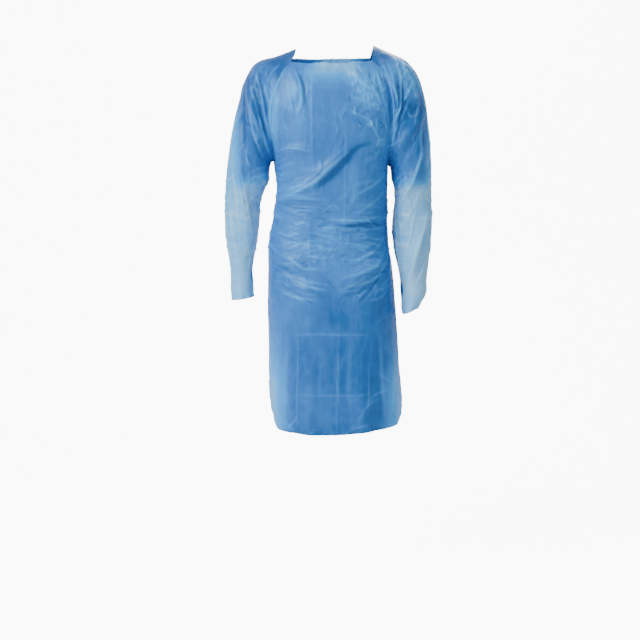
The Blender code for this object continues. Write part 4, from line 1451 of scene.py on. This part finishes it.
def add_tie(name, patch, sign, knot, film):
    """A waist tie: it lies on a back half and is gathered into pleats towards the knot."""
    count = patch.shape[1]
    edge_x = knot[0] + sign * KNOT_SIZE[0] / 2
    grid = np.zeros((TIE_ACROSS + 1, count + len(TIE_TUCKS), 3))
    crest = np.zeros(grid.shape[:2])
    for column in range(count):
        away = abs(on_column(patch, column, TIE_Z)[0][0] - edge_x)
        gathered = 1 - float(ease(away, TIE_GATHERED, TIE_GATHER))
        width = TIE_WIDTH * (1 - (1 - TIE_NECK) * gathered)
        depth = TIE_PLEAT_LOW + (TIE_PLEAT_HIGH - TIE_PLEAT_LOW) * gathered
        drift = TIE_DRIFT * noise.noise(Vector((column * TIE_DRIFT_PITCH, sign, 0)))
        for row, share in enumerate(np.linspace(0.5, -0.5, TIE_ACROSS + 1)):
            point, normal = on_column(patch, column, TIE_Z + share * width)
            angle = math.tau * TIE_PLEATS * share + drift + TIE_PLEAT_SKEW * share * share
            pleat = 0.5 + 0.5 * math.cos(angle)
            grid[row, column] = point + normal * (FILM / 2 + TIE_SEAT + pleat * depth)
            contrast = TIE_CREST_LOW + (1 - TIE_CREST_LOW) * gathered
            # painted highlight on the pleats' tops, painted shade in their valleys
            crest[row, column] = (pleat - TIE_CREST_LEVEL) * contrast
    tuck_tie(grid, crest, sign, knot)
    piece = add_strip(name, grid, sign, film, crest, TIE_FREE)


def knot_path(turn):
    """Middle line of an overhand knot drawn up tight, seen from behind."""
    width, depth, height = (size / 2 - tube for size, tube in zip(KNOT_SIZE, KNOT_BAND))
    x = (np.sin(turn) + 2 * np.sin(2 * turn)) / KNOT_REACH[0] * width
    z = (np.cos(turn) - 2 * np.cos(2 * turn)) / KNOT_REACH[1] * height
    return np.stack([x, -np.sin(3 * turn) * depth, z], axis=-1)


def add_knot(centre, film):
    """The knot: one pleated band of film that loops over and under itself."""
    turn = np.linspace(0, math.tau, KNOT_STEPS, endpoint=False)
    ahead = knot_path(turn + 0.01) - knot_path(turn - 0.01)
    ahead /= np.linalg.norm(ahead, axis=1, keepdims=True)
    side = np.cross(ahead, (0.0, 1.0, 0.0))
    side /= np.linalg.norm(side, axis=1, keepdims=True)
    up = np.cross(side, ahead)
    angle = np.linspace(0, math.tau, KNOT_ROUND, endpoint=False)
    twist = KNOT_TWIST * np.sin(2 * turn)[:, None]
    lobes = np.abs(np.sin(KNOT_LOBES * angle[None, :] + twist))
    swell = 1 - KNOT_SWELL * np.sin(3 * turn + KNOT_SWELL_AT)[:, None]
    radius = (1 - KNOT_PLEAT + KNOT_PLEAT * lobes**KNOT_PLEAT_EDGE) * swell
    grid = (knot_path(turn) + centre)[:, None, :]
    grid = grid + side[:, None, :] * (KNOT_BAND[0] * radius * np.cos(angle))[..., None]
    grid = grid + up[:, None, :] * (KNOT_BAND[1] * radius * np.sin(angle))[..., None]
    wrapped = np.concatenate([grid, grid[:1]])
    faces = (quads(wrapped, True) % (KNOT_STEPS * KNOT_ROUND)).reshape(-1, 4)
    # painted highlight on the pleats' tops, painted shade in their valleys
    crest = (lobes - KNOT_CREST_LEVEL).reshape(-1)
    tones = {"crest": crest, "free": np.full(crest.size, KNOT_FREE)}
    knot = add_object("tie_knot_cloth", grid.reshape(-1, 3), faces.tolist(), film, tones)
    finish_piece(knot, "tie_knot")


def add_end(name, centre, side, length, tilt, film):
    """A free end: pleats that open as it hangs down from the knot in a slow wave."""
    drop = np.linspace(-END_TUCK, length, END_ROWS + 1)[:, None]
    share = np.linspace(-1, 1, END_ACROSS + 1)[None, :]
    opened = np.clip(drop / END_WIDENS, 0, 1)
    half = END_WIDTH * (END_PINCH + (1 - END_PINCH) * opened) / 2
    curl = END_CURL * (END_CURL_TOP - END_CURL_OPENS * opened)
    by_side, steady, waver, pace = END_DRIFT
    drift = by_side * side + steady * drop + waver * np.sin(pace * drop + side)
    fold = np.cos(END_PLEATS * math.pi * share + drift)
    wave = END_WAVE * np.clip(drop / END_WAVE_GROWS, 0, 1) * np.sin(END_WAVES * drop + side)
    grid = np.zeros((END_ROWS + 1, END_ACROSS + 1, 3))
    grid[..., 0] = centre[0] + side * END_APART + tilt * drop + share * half
    grid[..., 1] = centre[1] + wave + curl * fold
    grid[..., 2] = centre[2] - KNOT_SIZE[2] / 2 - TIE_SEAT - drop
    cut = np.clip(drop / length, 0, 1) ** END_SLANT_POWER
    grid[..., 2] += END_SLANT * share * side * cut
    piece = add_strip(name, grid, 1, film, END_PAINTED_CREST * fold, END_FREE)


def add_ties(backs):
    """The two waist ties, their knot and its two ends."""
    film = make_film("tie_film")
    tops = []
    for back in backs:
        point, normal = on_column(back, -1, TIE_Z)
        tops.append(point + normal * (FILM / 2 + TIE_SEAT + TIE_PLEAT_HIGH / 2))
    knot = sum(tops) / 2
    add_tie("tie_left", backs[0], -1, knot, film)
    add_tie("tie_right", backs[1], 1, knot, film)
    add_knot(knot, film)
    add_end("tie_end_left", knot, -1, END_LENGTHS[0], END_TILTS[0], film)
    add_end("tie_end_right", knot, 1, END_LENGTHS[1], END_TILTS[1], film)


def put(thing, place, aim):
    """Adds a lamp or the camera to the scene in its place, turned to what it looks at."""
    bpy.context.scene.collection.objects.link(thing)
    thing.location = place
    look = Vector(aim) - thing.location
    thing.rotation_euler = look.to_track_quat("-Z", "Y").to_euler()


def add_camera():
    """The camera, at the photo's viewing angle."""
    camera = bpy.data.objects.new("camera", bpy.data.cameras.new("camera"))
    camera.data.lens = LENS
    camera.data.sensor_width = SENSOR
    put(camera, CAMERA_AT, CAMERA_AIM)
    bpy.context.scene.camera = camera


def add_lamp(name, place, aim, size, watts):
    lamp = bpy.data.objects.new(name, bpy.data.lights.new(name, "AREA"))
    lamp.data.size = size
    lamp.data.color = LIGHT_COLOUR
    lamp.data.energy = watts
    put(lamp, place, aim)


def studio_white():
    """A matt white that looks the same all over to the camera."""
    nodes = Nodes("studio_white")
    nodes.shader.inputs["Base Color"].default_value = (WHITE, WHITE, WHITE, 1)
    nodes.shader.inputs["Roughness"].default_value = WHITE
    seen = nodes.add("ShaderNodeLightPath").outputs["Is Camera Ray"]
    glow = nodes.add("ShaderNodeEmission", {"Strength": nodes.math("MULTIPLY", seen, WHITE_GLOW)})
    both = nodes.add("ShaderNodeAddShader", {0: nodes.shader.outputs[0], 1: glow.outputs[0]})
    nodes.join(both.outputs[0], nodes.output.inputs["Surface"])
    return nodes.material


def add_sweep():
    """The floor, which bends up into the wall behind."""
    profile = [(SWEEP_FRONT, FLOOR), (SWEEP_BACK, FLOOR)]
    for turn in np.linspace(0, math.pi / 2, BEND_STEPS)[1:]:
        y = SWEEP_BACK + SWEEP_BEND * math.sin(turn)
        profile.append((y, FLOOR + SWEEP_BEND * (1 - math.cos(turn))))
    profile.append((SWEEP_BACK + SWEEP_BEND, SWEEP_TOP))
    points = np.array([(x, y, z) for y, z in profile for x in (-SWEEP_WIDTH, SWEEP_WIDTH)])
    faces = [(2 * i, 2 * i + 1, 2 * i + 3, 2 * i + 2) for i in range(len(profile) - 1)]
    add_object("studio_sweep", points, faces, studio_white())


def light_world():
    """An even white sky, brighter where the camera sees it."""
    world = bpy.data.worlds.new("studio")
    bpy.context.scene.world = world
    world.use_nodes = True
    tree = world.node_tree
    sky = tree.nodes["Background"].inputs
    path = tree.nodes.new("ShaderNodeLightPath")
    strength = tree.nodes.new("ShaderNodeMath")
    strength.operation = "MULTIPLY_ADD"
    strength.inputs[1].default_value = WHITE_GLOW
    strength.inputs[2].default_value = WORLD_LIGHT
    sky["Color"].default_value = (1, 1, 1, 1)
    tree.links.new(path.outputs["Is Camera Ray"], strength.inputs[0])
    tree.links.new(strength.outputs[0], sky["Strength"])


add_camera()
add_sweep()
light_world()
for lamp in LAMPS:
    add_lamp(*lamp)
sheets = make_gown()
add_ties(sheets[1:3])
